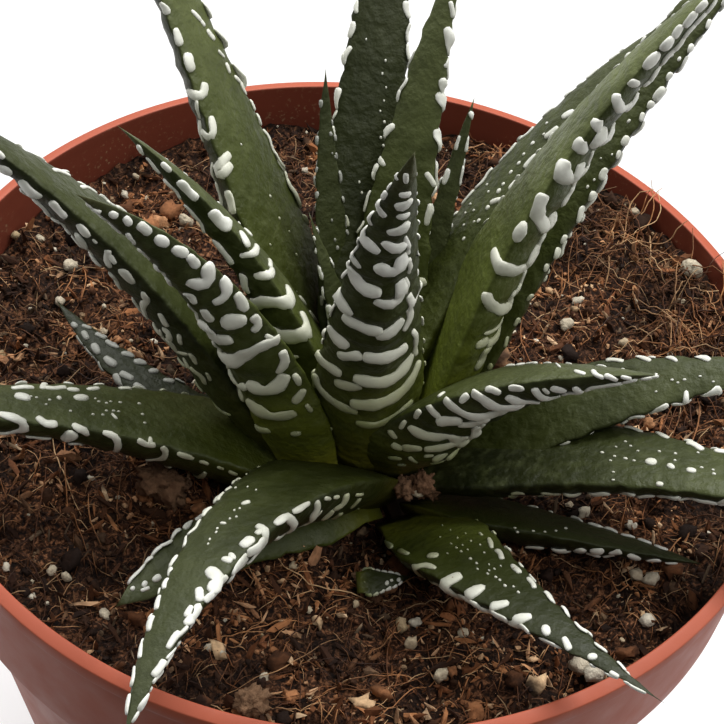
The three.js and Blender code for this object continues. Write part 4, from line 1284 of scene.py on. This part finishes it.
# %% Projection into the picture
PICTURE_SCALE = 8.2
MOST_TURNED = 1.8
camera_turn = np.array(camera.matrix_world.to_3x3())
camera_place = np.array(camera.matrix_world.translation) / MM


def pixel_of(points):
    """Where points in millimetres show in the picture."""
    local = (points - camera_place) @ camera_turn
    scale = FOCAL_PIXELS / -local[..., 2]
    return np.stack([FRAME_PIXELS / 2 + scale * local[..., 0], FRAME_PIXELS / 2 - scale * local[..., 1]], -1)


def turned_to_camera(shape, along, round_):
    towards = camera_place - shape.point(along, round_)
    return np.sum(shape.outward(along, round_) * towards, axis=-1) > 0


def skin_scale(shape, path):
    """Pixels of the picture to a millimetre of skin, measured across a stroke at its middle."""
    path = np.asarray(path, float)
    along, round_ = path[len(path) // 2]
    first, last = shape.point(path[[0, -1], 0], path[[0, -1], 1])
    side = unit(np.cross(shape.outward(along, round_), last - first))
    middle = shape.point(along, round_)
    ends = pixel_of(np.stack([middle - side / 2, middle + side / 2]))
    return np.clip(np.hypot(*(ends[1] - ends[0])), PICTURE_SCALE / MOST_TURNED, PICTURE_SCALE)


print("middle of the pot's mouth in the picture:", pixel_of(np.array([0, 0, POT_HEIGHT])).round())

# %% [markdown]
# ### From picture points to strokes
# A point of the picture is laid on the leaf by brute force: many places on the leaf are projected, and the
# nearest one that faces the camera is taken. A ray cast against the mesh would do too, but gives a point
# in space instead of a place on the skin.

# %% Strokes from picture points
DOT_WEIGHT = 0.85
DOT_LENGTH = 0.1
MOST_JUMP = 2
SEEN_WEIGHT = {
    "leaf_right_tall": 1.28, "leaf_left_inner": 1.15, "leaf_centre": 1.06, "leaf_left_front": 1.08,
    "leaf_front_over_rim": 0.86, "leaf_front_right": 0.9, "leaf_right_front": 0.84,
    "leaf_back_upright": 0.82, "leaf_young_right": 0.8, "leaf_back": 0.85, "leaf_back_left": 0.92,
}
SEEN_ALONG = np.linspace(0.02, 0.99, 230)
SEEN_ROUND = np.linspace(-2, 2, 161)[:-1]


def seen_strokes(name, shape):
    """The strokes of SEEN_STROKES as half widths and (along, round) paths."""
    along, round_ = (grid.ravel() for grid in np.meshgrid(SEEN_ALONG, SEEN_ROUND, indexing="ij"))
    shown = turned_to_camera(shape, along, round_)
    along, round_ = along[shown], round_[shown]
    pixels = pixel_of(shape.point(along, round_))
    strokes = []
    for half_width, *numbers in (stroke for row in SEEN_STROKES[name].values() for stroke in row):
        path = []
        for x, y in zip(numbers[::2], numbers[1::2]):
            best = np.argmin(np.hypot(pixels[:, 0] - x, pixels[:, 1] - y))
            path.append((along[best], round_[best]))
        if len(path) == 1:
            path.append((path[0][0] + DOT_LENGTH / shape.length, path[0][1]))
        pairs = zip(path, path[1:])
        path = path[:1] + [p for before, p in pairs if p != before and abs(p[1] - before[1]) < MOST_JUMP]
        if len(path) > 1:
            weight = DOT_WEIGHT if len(numbers) == 2 else PICTURE_SCALE / skin_scale(shape, path)
            strokes.append((half_width * weight * SEEN_WEIGHT.get(name, 1), path))
    return strokes


def in_view(shape, stroke):
    """Whether a stroke lies on a side of the leaf that the picture shows."""
    along, round_ = np.mean(np.asarray(stroke[1]), axis=0)
    x, y = pixel_of(shape.point(along, round_))
    inside = 0 < x < FRAME_PIXELS and 0 < y < FRAME_PIXELS
    return inside and bool(turned_to_camera(shape, along, round_))


all_rows = [row for rows in SEEN_STROKES.values() for row in rows.values()]
print("strokes read from the picture:", sum(map(len, all_rows)))

# %% [markdown]
# ### Every leaf's own share of the habit
# Some leaves have close and large beads, others few. The table gives them, and the rest share one row.
# On a leaf that the picture shows, the habit only fills the sides that are out of view.

# %% Habit of each leaf
# Spacing and size of the edge teeth and of the ovals beside them, for the margins -1 and 1,
# then dots on the upper face to a leaf. A spacing of 0 leaves the row out.
HABIT = {
    "leaf_back_left": ((3.0, 0.34), (4.2, 0.72), (0, 0), (4.6, 0.8), 10),
    "leaf_back": ((3.6, 0.45), (4.2, 0.45), (4.4, 0.6), (4.4, 0.6), 8),
    "leaf_back_upright": ((3.8, 0.45), (3.8, 0.5), (4.4, 0.55), (4.4, 0.6), 6),
    "leaf_right_behind": ((2.6, 0.36), (2.6, 0.4), (3.6, 0.5), (3.6, 0.5), 24),
    "leaf_back_right": ((3.4, 0.36), (3.4, 0.4), (4.4, 0.5), (4.4, 0.5), 60),
    "leaf_left_long": ((2.8, 0.36), (3.0, 0.42), (3.4, 0.62), (3.8, 0.55), 14),
    "leaf_left_low": ((3.2, 0.4), (3.6, 0.4), (4.0, 0.72), (4.4, 0.6), 36),
    "leaf_right_low": ((3.6, 0.36), (3.0, 0.36), (4.2, 0.55), (3.8, 0.55), 80),
    "leaf_right_mid": ((3.0, 0.38), (2.8, 0.36), (4.2, 0.55), (3.8, 0.55), 30),
    "leaf_front_over_rim": ((2.9, 0.52), (4.2, 0.34), (2.8, 0.6), (3.8, 0.5), 16),
    "leaf_left_short": ((3.0, 0.4), (3.0, 0.34), (3.4, 0.5), (3.4, 0.5), 34),
    "leaf_front_right": ((3.0, 0.36), (3.0, 0.5), (3.2, 0.5), (2.8, 0.62), 90),
}
PLAIN_HABIT = ((3.0, 0.32), (3.0, 0.32), (3.4, 0.42), (3.4, 0.42), 10)


def habit_strokes(name, shape, rng):
    """Tubercles by the habit of the plant, on all sides of a leaf."""
    near_teeth, far_teeth, near_ovals, far_ovals, dots = HABIT.get(name, PLAIN_HABIT)
    strokes = []
    for side, (spacing, size) in ((-1, near_teeth), (1, far_teeth)):
        strokes += edge_teeth(shape, rng, side, spacing, size)
    for side, (spacing, size) in ((-1, near_ovals), (1, far_ovals)):
        if spacing:
            strokes += under_ovals(shape, rng, side, spacing, size)
    strokes += under_bars(shape, rng, until=0.34, size=0.45)
    strokes += tiny_dots(shape, rng, dots, (0.25, 0.85), (1.3, 2.7), 0.17)
    return strokes + tiny_dots(shape, rng, 12, (0.07, 0.16), (-0.6, 0.6), 0.24)


def leaf_strokes(name, shape, rng):
    strokes = habit_strokes(name, shape, rng)
    if name in SEEN_STROKES:
        strokes = [stroke for stroke in strokes if not in_view(shape, stroke)]
        strokes += seen_strokes(name, shape)
    return strokes


print("leaves with a habit of their own:", len(HABIT))

# %% [markdown]
# ### Growing the leaves
# Skin and tubercles of one leaf become one piece with two finishes. It replaces the CAD leaf of the same
# name. Small dots get fewer sides than bars, as nobody sees them from close by.

# %% Grow the leaves
DOT_SIDES = 6
DOT_HALF_WIDTH = 0.25
FIRST_SEED = 11


def join_meshes(parts):
    """Several (points, faces, place) as one, with a slot number for each face."""
    points, faces, places, slots = [], [], [], []
    start = 0
    for slot, (some_points, some_faces, some_place) in parts:
        points.append(some_points)
        places.append(some_place)
        faces += [tuple(start + i for i in f) for f in some_faces]
        slots += [slot] * len(some_faces)
        start += len(some_points)
    return np.vstack(points), faces, np.vstack(places), slots


def grow_leaf(name, seed):
    """Make one leaf, and return how many tubercles it has."""
    rng = random.Random(seed)
    shape = LeafShape(*LEAVES[name])
    parts = [(0, skin_grid(shape))]
    for stroke in leaf_strokes(name, shape, rng):
        sides = DOT_SIDES if stroke[0] < DOT_HALF_WIDTH else BAR_SIDES
        parts.append((1, bar_mesh(shape, stroke, sides)))
    points, faces, place, slots = join_meshes(parts)
    # Leaves in the table of painted light get a skin of their own, darkened by painted shade or lightened by
    # painted light.
    skin = skin_paint("skin_painted_light_of_" + name, *LEAF_PAINTED_LIGHT[name]) if name in LEAF_PAINTED_LIGHT else SKIN
    # Two shaded leaves get tubercles with painted shade.
    white = PAINTED_SHADE_WHITE if name in PAINTED_SHADE_LEAVES else WHITE
    leaf = make_object("grown_" + name, points * MM, faces, place, slots=[skin, white], face_slots=slots)
    settle(leaf, "leaf", name)
    return len(parts) - 1


tubercles = [grow_leaf(name, FIRST_SEED + number) for number, name in enumerate(LEAVES)]
print("leaves:", len(tubercles), "tubercles:", sum(tubercles))

# %% [markdown]
# ## The stem
# The stem is almost hidden by the leaf feet. The CAD shape is kept and only gets a finish.

# %% Stem finish
def stem_paint():
    paint = Paint("stem_skin", roughness=0.6, specular=0.3)
    tone = paint.ramp(paint.noise(400, 4), (0.3, (0.014, 0.009, 0.004)), (0.7, (0.035, 0.016, 0.007)))
    paint.colour(tone)
    paint.bump(paint.noise(900, 3), 0.3, 0.0003)
    return paint.material


stem = frame["nodes"]["stem"]
stem.data.materials.clear()
stem.data.materials.append(stem_paint())
print("stem finish:", stem.data.materials[0].name)

# %% [markdown]
# ## The potting mix
# The mix is coir: brown pith crumbs, orange brown fibres, bits of bark and a few pale grains of
# perlite. Its body is one closed mesh whose top is a fine grid, pushed up and down by layered noise. On
# it lie separate crumbs and fibres as real meshes, so the surface reads as loose from close by.

# %% Body of the mix
SOIL_GAP = 0.3
SOIL_RINGS = 96
SOIL_TURNS = 320
SOIL_CROWDING = 0.9
LUMP_RATE = 0.17
LUMP_HEIGHT = 1.7
GRAIN_RATE = 1.1
GRAIN_HEIGHT = 0.7
SUNK = 0.4
DEEPEST = -2.8
HIGHEST = 0.7


def rough_height(x, y):
    """The lie of the mix with its lumps and holes, in millimetres."""
    lumps = noise.fractal(Vector((x * LUMP_RATE, y * LUMP_RATE, 3.1)), 0.8, 2.2, 4)
    grain = noise.noise(Vector((x * GRAIN_RATE, y * GRAIN_RATE, 7.7)))
    lift = max(DEEPEST, min(HIGHEST, LUMP_HEIGHT * lumps + GRAIN_HEIGHT * grain - SUNK))
    return float(soil_height(x, y)) + lift


def make_soil(material):
    brim = inner_radius(SOIL_LEVEL - 1) - SOIL_GAP
    angles = np.arange(SOIL_TURNS) * 2 * math.pi / SOIL_TURNS
    points = []
    for height in (BASE_THICKNESS + SOIL_GAP, STEP_HEIGHT):
        radius = inner_radius(height) - SOIL_GAP
        points += [(radius * math.cos(a), radius * math.sin(a), height) for a in angles]
    for ring in range(SOIL_RINGS, 0, -1):
        radius = brim * (ring / SOIL_RINGS) ** SOIL_CROWDING
        for a in angles:
            x, y = radius * math.cos(a), radius * math.sin(a)
            points.append((x, y, rough_height(x, y)))
    points.append((0, 0, rough_height(0, 0)))
    rings = SOIL_RINGS + 2
    faces = ring_faces(rings, SOIL_TURNS)
    faces += fan_faces((rings - 1) * SOIL_TURNS, SOIL_TURNS, len(points) - 1)
    faces.append(tuple(range(SOIL_TURNS - 1, -1, -1)))
    soil = make_object("potting_mix", np.array(points) * MM, faces, slots=[material])
    return settle(soil, "potting_mix", "soil")


# %% [markdown]
# The body shows only between the crumbs. Its finish is earthy: fine grains from nearly black to light
# brown. Dark patches laid at random by noise are painted shade, which stands in for the leaves' shadows on
# the mix.

# %% Mix finish
# The first is the darkest grain colour and also the colour of the painted shade.
DARKEST_AND_SHADE, EARTH, DRY = (0.006, 0.003, 0.002), (0.045, 0.018, 0.008), (0.26, 0.115, 0.055)


def mix_paint():
    paint = Paint("coir_with_painted_shade", roughness=0.9, specular=0.15)
    grain = paint.ramp(paint.noise(1500, 6, distortion=0.8), (0.36, DARKEST_AND_SHADE), (0.52, EARTH), (0.68, DRY))
    # Painted shade: dark patches at random, in place of the leaves' shadows on the mix.
    patch = paint.ramp(paint.noise(140, 3), (0.42, 0.0), (0.62, 0.8))
    paint.colour(paint.mix(patch, grain, DARKEST_AND_SHADE))
    paint.bump(paint.noise(1400, 6), 0.9, 0.0008)
    return paint.material


make_soil(mix_paint())

# %% [markdown]
# ### Finishes of the loose stuff
# Every crumb, shred, grain and fibre takes a tone of its own from a short ramp, and is mottled a little.
# The Place map holds the random number that picks the tone. In patches laid at random by noise, all of it
# is darker: painted shade that stands in for the leaves' shadows on the mix.

# %% Finishes of the loose stuff
def crumb_paint(name, *tones, roughness=0.9, bump=0.5, patches=0.0):
    """Tones from first to last are equally common. patches is how dark the painted shade is, in patches laid
    at random.
    """
    paint = Paint(name, roughness=roughness, specular=0.2)
    pick, _ = paint.place()
    own = paint.ramp(pick, *((k / (len(tones) - 1), tone) for k, tone in enumerate(tones)))
    mottle = paint.ramp(paint.noise(1300, 4), (0.35, 0.0), (0.7, 0.7))
    mottled = paint.mix(mottle, own, paint.mix(0.6, own, (0.02, 0.009, 0.005)))
    # Painted shade: dark patches at random, in place of the leaves' shadows on the mix.
    painted_shade_patch = paint.ramp(paint.noise(110, 5), (0.46, 0.0), (0.56, patches))
    paint.colour(paint.mix(painted_shade_patch, mottled, (0.012, 0.006, 0.004)))
    paint.bump(paint.noise(2200, 4), bump, 0.0003)
    return paint.material


PITH = crumb_paint("coir_pith", (0.008, 0.004, 0.002), (0.05, 0.020, 0.008), (0.16, 0.062, 0.025),
                   (0.42, 0.18, 0.075), (0.72, 0.49, 0.28), patches=0.9)
SHRED = crumb_paint("coir_shreds", (0.018, 0.008, 0.004), (0.08, 0.030, 0.012), (0.23, 0.085, 0.032),
                    (0.48, 0.21, 0.085), (0.80, 0.56, 0.34), bump=0.3, patches=0.85)
PALE = crumb_paint("perlite", (0.50, 0.42, 0.29), (0.64, 0.58, 0.46), (0.40, 0.29, 0.16), bump=0.9)
BARK = crumb_paint("bark", (0.06, 0.022, 0.010), (0.20, 0.074, 0.029), (0.36, 0.18, 0.09), patches=0.6)
FIBRE = crumb_paint("coir_fibre", (0.03, 0.011, 0.005), (0.12, 0.043, 0.016), (0.25, 0.096, 0.034),
                    (0.45, 0.20, 0.078), (0.70, 0.46, 0.24), roughness=0.5, bump=0.2, patches=0.5)
CLOD = crumb_paint("clod", (0.08, 0.035, 0.017), (0.17, 0.086, 0.045), (0.28, 0.175, 0.10), bump=1.0)
print("finishes:", *(material.name for material in (PITH, SHRED, PALE, BARK, FIBRE, CLOD)))

# %% [markdown]
# ### Crumbs, grains and bark
# A crumb is a coarse ball whose points are pulled in and out. Thousands of them, each turned, squashed
# and sized at random, are heaped into one piece for each kind of stuff. Scattering copies with nodes
# would be lighter, but a part for other programs needs plain meshes.

# %% Heaps of small bodies
BALL_DETAILS = (1, 2, 4)
MIX_REACH = 56.5
STEM_CLEARANCE = 5


def ball(subdivisions):
    """Points and triangles of a unit ball made from an icosahedron."""
    builder = bmesh.new()
    bmesh.ops.create_icosphere(builder, subdivisions=subdivisions, radius=1)
    points = np.array([v.co for v in builder.verts])
    faces = [tuple(v.index for v in f.verts) for f in builder.faces]
    builder.free()
    return points, faces


BALLS = {detail: ball(detail) for detail in BALL_DETAILS}


class Heap:
    """Small bodies of one stuff that become one piece. Each keeps two random numbers in the Place map."""

    def __init__(self, seed):
        self.rng = random.Random(seed)
        self.points, self.faces, self.places = [], [], []
        self.size = 0

    def add(self, points, faces):
        self.points.append(points)
        self.faces += [tuple(self.size + i for i in face) for face in faces]
        self.places.append(np.tile([self.rng.random(), self.rng.random()], (len(points), 1)))
        self.size += len(points)

    def finish(self, name, material, smooth=True):
        points, places = np.vstack(self.points) * MM, np.vstack(self.places)
        return settle(make_object(name, points, self.faces, places, smooth, [material]), "potting_mix")


def turned(rng, flatness):
    """A random rotation matrix. With a flatness of 1 the piece lies level, with 0 it may stand up."""
    spin = Matrix.Rotation(rng.uniform(0, 2 * math.pi), 3, "Z")
    tip = Matrix.Rotation(rng.gauss(0, 1.2 * (1 - flatness) + 0.15), 3, "Y")
    roll = Matrix.Rotation(rng.uniform(0, 2 * math.pi), 3, "X")
    return np.array(spin @ tip @ roll)


def on_the_mix(rng):
    """A random place on the mix, clear of the stem."""
    while True:
        radius = MIX_REACH * math.sqrt(rng.random())
        angle = rng.uniform(0, 2 * math.pi)
        x, y = radius * math.cos(angle), radius * math.sin(angle)
        if math.hypot(x - STEM_FOOT[0], y - STEM_FOOT[1]) > STEM_CLEARANCE:
            return x, y


print("corners of the balls:", [len(points) for points, _ in BALLS.values()])

# %% [markdown]
# Small sizes are far more common than large ones, as in sieved stuff. Shreds are long and lie loose on
# top, crumbs sink in a little.

# %% Scatter the crumbs
SMALL_SIZES = 2.5


def scatter(name, seed, amount, sizes, thickness, roughness, detail, material, lift, flatness=0.6):
    """Many lumps of one stuff lying on the mix. thickness: least and most share of the size."""
    heap = Heap(seed)
    rng = heap.rng
    unit_points, unit_faces = BALLS[detail]
    for _ in range(amount):
        x, y = on_the_mix(rng)
        size = sizes[0] + (sizes[1] - sizes[0]) * rng.random() ** SMALL_SIZES
        stretch = np.array([1, rng.uniform(*thickness), rng.uniform(*thickness)]) * size
        pulled = unit_points * np.array([1 + roughness * rng.uniform(-1, 1) for _ in unit_points])[:, None]
        lump = (pulled * stretch) @ turned(rng, flatness).T
        heap.add(lump + np.array([x, y, rough_height(x, y) + lift * size * thickness[0] + 0.1]), unit_faces)
    return heap.finish(name, material, smooth=detail > 1)


scatter("crumbs_fine", 21, 9000, (0.12, 0.5), (0.45, 0.95), 0.5, 1, PITH, lift=0.7)
scatter("crumbs_coarse", 22, 480, (0.5, 1.8), (0.45, 0.85), 0.5, 2, PITH, lift=0.4)
scatter("coir_shreds", 23, 7200, (0.3, 1.9), (0.08, 0.30), 0.6, 1, SHRED, lift=1.6, flatness=0.4)
scatter("bark_bits", 24, 120, (0.6, 2.2), (0.15, 0.5), 0.35, 1, BARK, lift=0.8)
scatter("perlite_grains", 25, 260, (0.2, 0.9), (0.6, 0.95), 0.32, 2, PALE, lift=0.6)

# %% [markdown]
# ### Coir fibres
# Coir is the husk of the coconut, and its fibres are what one sees first: thin, curly, orange brown
# threads lying every way. Each is a thin tube that wanders as it goes, held at a small height above the
# mix. Curves with a bevel would do as well, but a mesh tube lets thousands be one piece.

# %% A fibre
FIBRE_SIDES = 4
FIBRE_REACH = 56.8
FIBRE_LIFT = 0.12
FIBRE_CEILING = 0.95
FLAT_ARCH = 0.9


def tube(line, radius):
    """Points and faces of a thin closed tube along a line, thinner at its ends."""
    line = np.asarray(line, float)
    tangent = unit(np.gradient(line, axis=0))
    side = unit(np.cross(tangent, [0.13, 0.21, 1.0]))
    other = np.cross(tangent, side)
    count = len(line)
    share = np.linspace(0, 1, count)
    radii = radius * (0.35 + 0.65 * np.sin(np.pi * np.clip(share * 0.94 + 0.03, 0, 1)) ** 0.5)
    angles = np.arange(FIBRE_SIDES) * 2 * math.pi / FIBRE_SIDES
    rings = (line[:, None, :] + side[:, None, :] * (radii[:, None] * np.cos(angles))[..., None]
             + other[:, None, :] * (radii[:, None] * np.sin(angles))[..., None])
    faces = [(a, d, c, b) for a, b, c, d in ring_faces(count, FIBRE_SIDES)]
    last = (count - 1) * FIBRE_SIDES
    faces.append(tuple(range(FIBRE_SIDES)))
    faces.append(tuple(last + k for k in range(FIBRE_SIDES - 1, -1, -1)))
    return rings.reshape(-1, 3), faces


def wander(rng, x, y, length, curl, lift, steps):
    """A line that starts at x, y and wanders over the mix."""
    heading = rng.uniform(0, 2 * math.pi)
    bend = rng.gauss(0, curl)
    step = length / steps
    arch = lift * rng.uniform(0.3, 1.0)
    line = []
    for k in range(steps + 1):
        if math.hypot(x, y) > FIBRE_REACH:
            break
        raised = arch * math.sin(math.pi * k / steps) * rng.uniform(0.8, 1.2)
        height = rough_height(x, y) + FIBRE_LIFT + raised
        ceiling = float(soil_height(x, y)) + FIBRE_CEILING + max(0, lift - FLAT_ARCH)
        line.append((x, y, min(height, ceiling)))
        bend += rng.gauss(0, curl * 0.5)
        heading += bend * step
        x += step * math.cos(heading)
        y += step * math.sin(heading)
    return line


print("sides of a fibre:", FIBRE_SIDES)

# %% [markdown]
# Three layers of fibres are laid: short ones everywhere, long ones among them, and a loose bunch on the
# bank at the back right.

# %% Lay the fibres
LEAST_POINTS = 4


def lay_fibres(name, seed, amount, lengths, radii, curl, lift, steps, where=on_the_mix):
    heap = Heap(seed)
    rng = heap.rng
    laid = 0
    while laid < amount:
        x, y = where(rng)
        line = wander(rng, x, y, rng.uniform(*lengths), curl, lift, steps)
        if len(line) < LEAST_POINTS:
            continue
        heap.add(*tube(line, rng.uniform(*radii)))
        laid += 1
    return heap.finish(name, FIBRE)


def on_the_bank(rng):
    """Places near the rim at the right and the back right, where the mix is banked up."""
    angle = math.radians(rng.uniform(2, 75))
    radius = rng.uniform(45, MIX_REACH)
    return radius * math.cos(angle), radius * math.sin(angle)


lay_fibres("fibres_short", 31, 3600, (1.2, 5.0), (0.035, 0.085), 0.08, 0.9, 4)
lay_fibres("fibres_long", 32, 230, (7, 22), (0.045, 0.11), 0.04, 1.6, 14)
lay_fibres("fibres_banked", 33, 210, (4, 16), (0.05, 0.12), 0.035, 2.6, 14, where=on_the_bank)

# %% [markdown]
# Some fibres hang over the rim at the back right. Each one starts on the mix, climbs to the lip and
# ends just beyond it, a little above the plastic.

# %% Fibres over the rim
RIM_FIBRES = 18
RIM_FIBRE_POINTS = 15
MIX_CLEARANCE = 0.8
LIP_CLEARANCE = 0.35
LIP_TOP = 0.9


def rim_fibre(rng):
    """A line from the mix up and across the lip."""
    angle = rng.uniform(5, 62)
    inner, outer = rng.uniform(48, 54), rng.uniform(58.2, 60.6)
    swing = rng.gauss(0, 7)
    line = []
    for share in (k / (RIM_FIBRE_POINTS - 1) for k in range(RIM_FIBRE_POINTS)):
        radius = inner + (outer - inner) * share
        turn = math.radians(angle + swing * share + 1.5 * math.sin(5 * share + angle))
        x, y = radius * math.cos(turn), radius * math.sin(turn)
        mix_top = float(soil_height(x, y)) + MIX_CLEARANCE
        least = POT_HEIGHT + LIP_CLEARANCE if radius > MIX_REACH else mix_top
        height = max(mix_top + (POT_HEIGHT + LIP_TOP - mix_top) * share ** 1.6, least)
        line.append((x, y, height + 0.5 * math.sin(4 * share + angle)))
    return line


rim_heap = Heap(41)
for _ in range(RIM_FIBRES):
    rim_heap.add(*tube(rim_fibre(rim_heap.rng), rim_heap.rng.uniform(0.06, 0.12)))
rim_heap.finish("fibres_over_rim", FIBRE)

# %% [markdown]
# ### Grains and clods with a place of their own
# A few pale grains and clods catch the eye, so they stand where the picture has them. Each is named and
# given as a point of the picture and a radius in millimetres. The camera's ray through that point is
# followed down to the mix, or to the leaf feet that the clump at the foot lies on.

# %% Placed grains and clods
GRAIN_POINTS = {
    "left_white": ((185, 223), 1.25), "left_upper": ((125, 196), 0.7), "left_back": ((136, 178), 0.6),
    "far_left": ((16, 237), 0.8), "left_under_leaf": ((71, 268), 1.2), "left_low_a": ((52, 572), 0.8),
    "left_low_b": ((66, 578), 0.7), "front_a": ((401, 627), 1.1), "front_b": ((415, 624), 0.8),
    "front_c": ((411, 645), 0.9), "front_d": ((463, 634), 0.8), "front_e": ((440, 677), 1.0),
    "right_front_a": ((636, 577), 1.0), "right_front_b": ((650, 581), 1.0),
    "right_front_c": ((647, 623), 1.1), "right_rim_a": ((578, 667), 1.3), "right_rim_b": ((594, 675), 1.5),
    "under_short_leaf": ((583, 515), 1.1), "foot_a": ((412, 482), 1.1), "foot_b": ((422, 486), 1.2),
    "foot_c": ((418, 494), 0.9), "foot_d": ((428, 492), 0.8), "right_chip": ((690, 272), 1.7),
    "right_low": ((566, 327), 1.2), "right_mid": ((577, 303), 0.9),
}
CLOD_POINTS = {
    "left_clod": ((160, 490), 3.4), "left_clod_side": ((172, 500), 2.2), "bottom_clod": ((252, 705), 2.1),
    "foot_clod": ((424, 490), 2.0), "foot_clod_side": ((404, 492), 1.6), "left_back_clod": ((186, 330), 1.6),
    "offset_cover": ((364, 584), 1.4), "offset_cover_low": ((374, 597), 1.1),
}
FOOT_LIFT = 10.0
RAY_STEPS = 6
LUMP_SPACING = 5.3


def mix_point(pixel, lift):
    """Where the camera's ray through a picture point comes down to a height above the mix, in millimetres."""
    middle = FRAME_PIXELS / 2
    local = Vector(((pixel[0] - middle) / FOCAL_PIXELS, (middle - pixel[1]) / FOCAL_PIXELS, -1))
    ray = camera.matrix_world.to_3x3() @ local
    start = camera.matrix_world.translation / MM
    height = SOIL_LEVEL
    for _ in range(RAY_STEPS):
        spot = start + ray * ((height - start.z) / ray.z)
        height = float(soil_height(spot.x, spot.y)) + lift
    return spot


def place_lumps(name, seed, chosen, squash, material, detail, roughness):
    """Lumps at the chosen picture points, swollen and pitted by noise."""
    heap = Heap(seed)
    rng = heap.rng
    unit_points, unit_faces = BALLS[detail]
    for number, (lump_name, (pixel, size)) in enumerate(chosen.items()):
        spot = mix_point(pixel, FOOT_LIFT if lump_name.startswith("foot_") else 0)
        pulled = []
        for p in unit_points:
            here = Vector(p) + Vector((number * LUMP_SPACING, 0, 0))
            swell = 1 + 0.5 * noise.noise(here * 1.7) + 2.2 * roughness * noise.noise(here * 5)
            swell += roughness * (noise.noise(here * 13) + rng.uniform(-0.3, 0.3))
            pulled.append(p * swell)
        lump = np.array(pulled) * size * np.array([1, rng.uniform(0.65, 0.9), squash])
        lump = lump @ turned(rng, 0.9).T
        heap.add(lump + np.array([spot.x, spot.y, spot.z + 0.45 * size]), unit_faces)
    return heap.finish(name, material)


place_lumps("placed_grains", 51, GRAIN_POINTS, 0.8, PALE, detail=2, roughness=0.12)
place_lumps("placed_clods", 52, CLOD_POINTS, 0.7, CLOD, detail=4, roughness=0.2)

# %% [markdown]
# ## The small offset
# In front of the plant the tip of a young offset shows above the mix. It is a short fat leaf of the same
# habit, so the same rule makes it. Its beads stand in pairs at the margins, with one between on top.

# %% Offset leaf tip
OFFSET_FOOT = (4.5, -32.5)
OFFSET_LIFT = 1.2
OFFSET_TUCK = 0.6
OFFSET_BEADS = (0.1, 0.25, 0.4, 0.55, 0.7, 0.84)


class OffsetShape(LeafShape):
    """The same skin rule on a short leaf that lies level on the mix."""

    def __init__(self):
        super().__init__((10, 20), (0, 0), 5.6, 4.2, 0.7, 0, (101, 0))
        self.tuck = OFFSET_TUCK
        level = float(soil_height(*OFFSET_FOOT)) + REST_GAP + OFFSET_LIFT
        self.middle = self.middle - self.middle[0] + np.array([*OFFSET_FOOT, level])


def grow_offset():
    rng = random.Random(5)
    shape = OffsetShape()
    parts = [(0, skin_grid(shape))]
    for place in OFFSET_BEADS:
        for side in (-1, 1):
            path = [(place, side * 0.98), (place + 0.04, side * 1.02)]
            parts.append((1, bar_mesh(shape, (rng.uniform(0.24, 0.36), path))))
        where = rng.uniform(1.6, 2.3)
        parts.append((1, bar_mesh(shape, (0.26, [(place, where), (place + 0.02, where + 0.1)]))))
    points, faces, place, slots = join_meshes(parts)
    # The offset's skin has painted shade, about half as bright at the foot and towards the tip.
    skin = skin_paint("offset_skin_painted_shade", 0.5, 0.45)
    tip = make_object("grown_offset_tip", points * MM, faces, place, slots=[skin, WHITE], face_slots=slots)
    return settle(tip, "leaf", "offset_leaf_tip")


grow_offset()

# %% [markdown]
# ## The end
# The triangles of every piece that is shown are counted, the studio's sheets left out.
# The visual model may pass the CAD model's box by the height of a bead and no more.

# %% Finish
triangles = 0
for piece in bpy.context.scene.objects:
    if piece.type == "MESH" and not piece.hide_render and not piece.get("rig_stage"):
        triangles += sum(len(p.vertices) - 2 for p in piece.data.polygons)
print("triangles shown:", triangles)
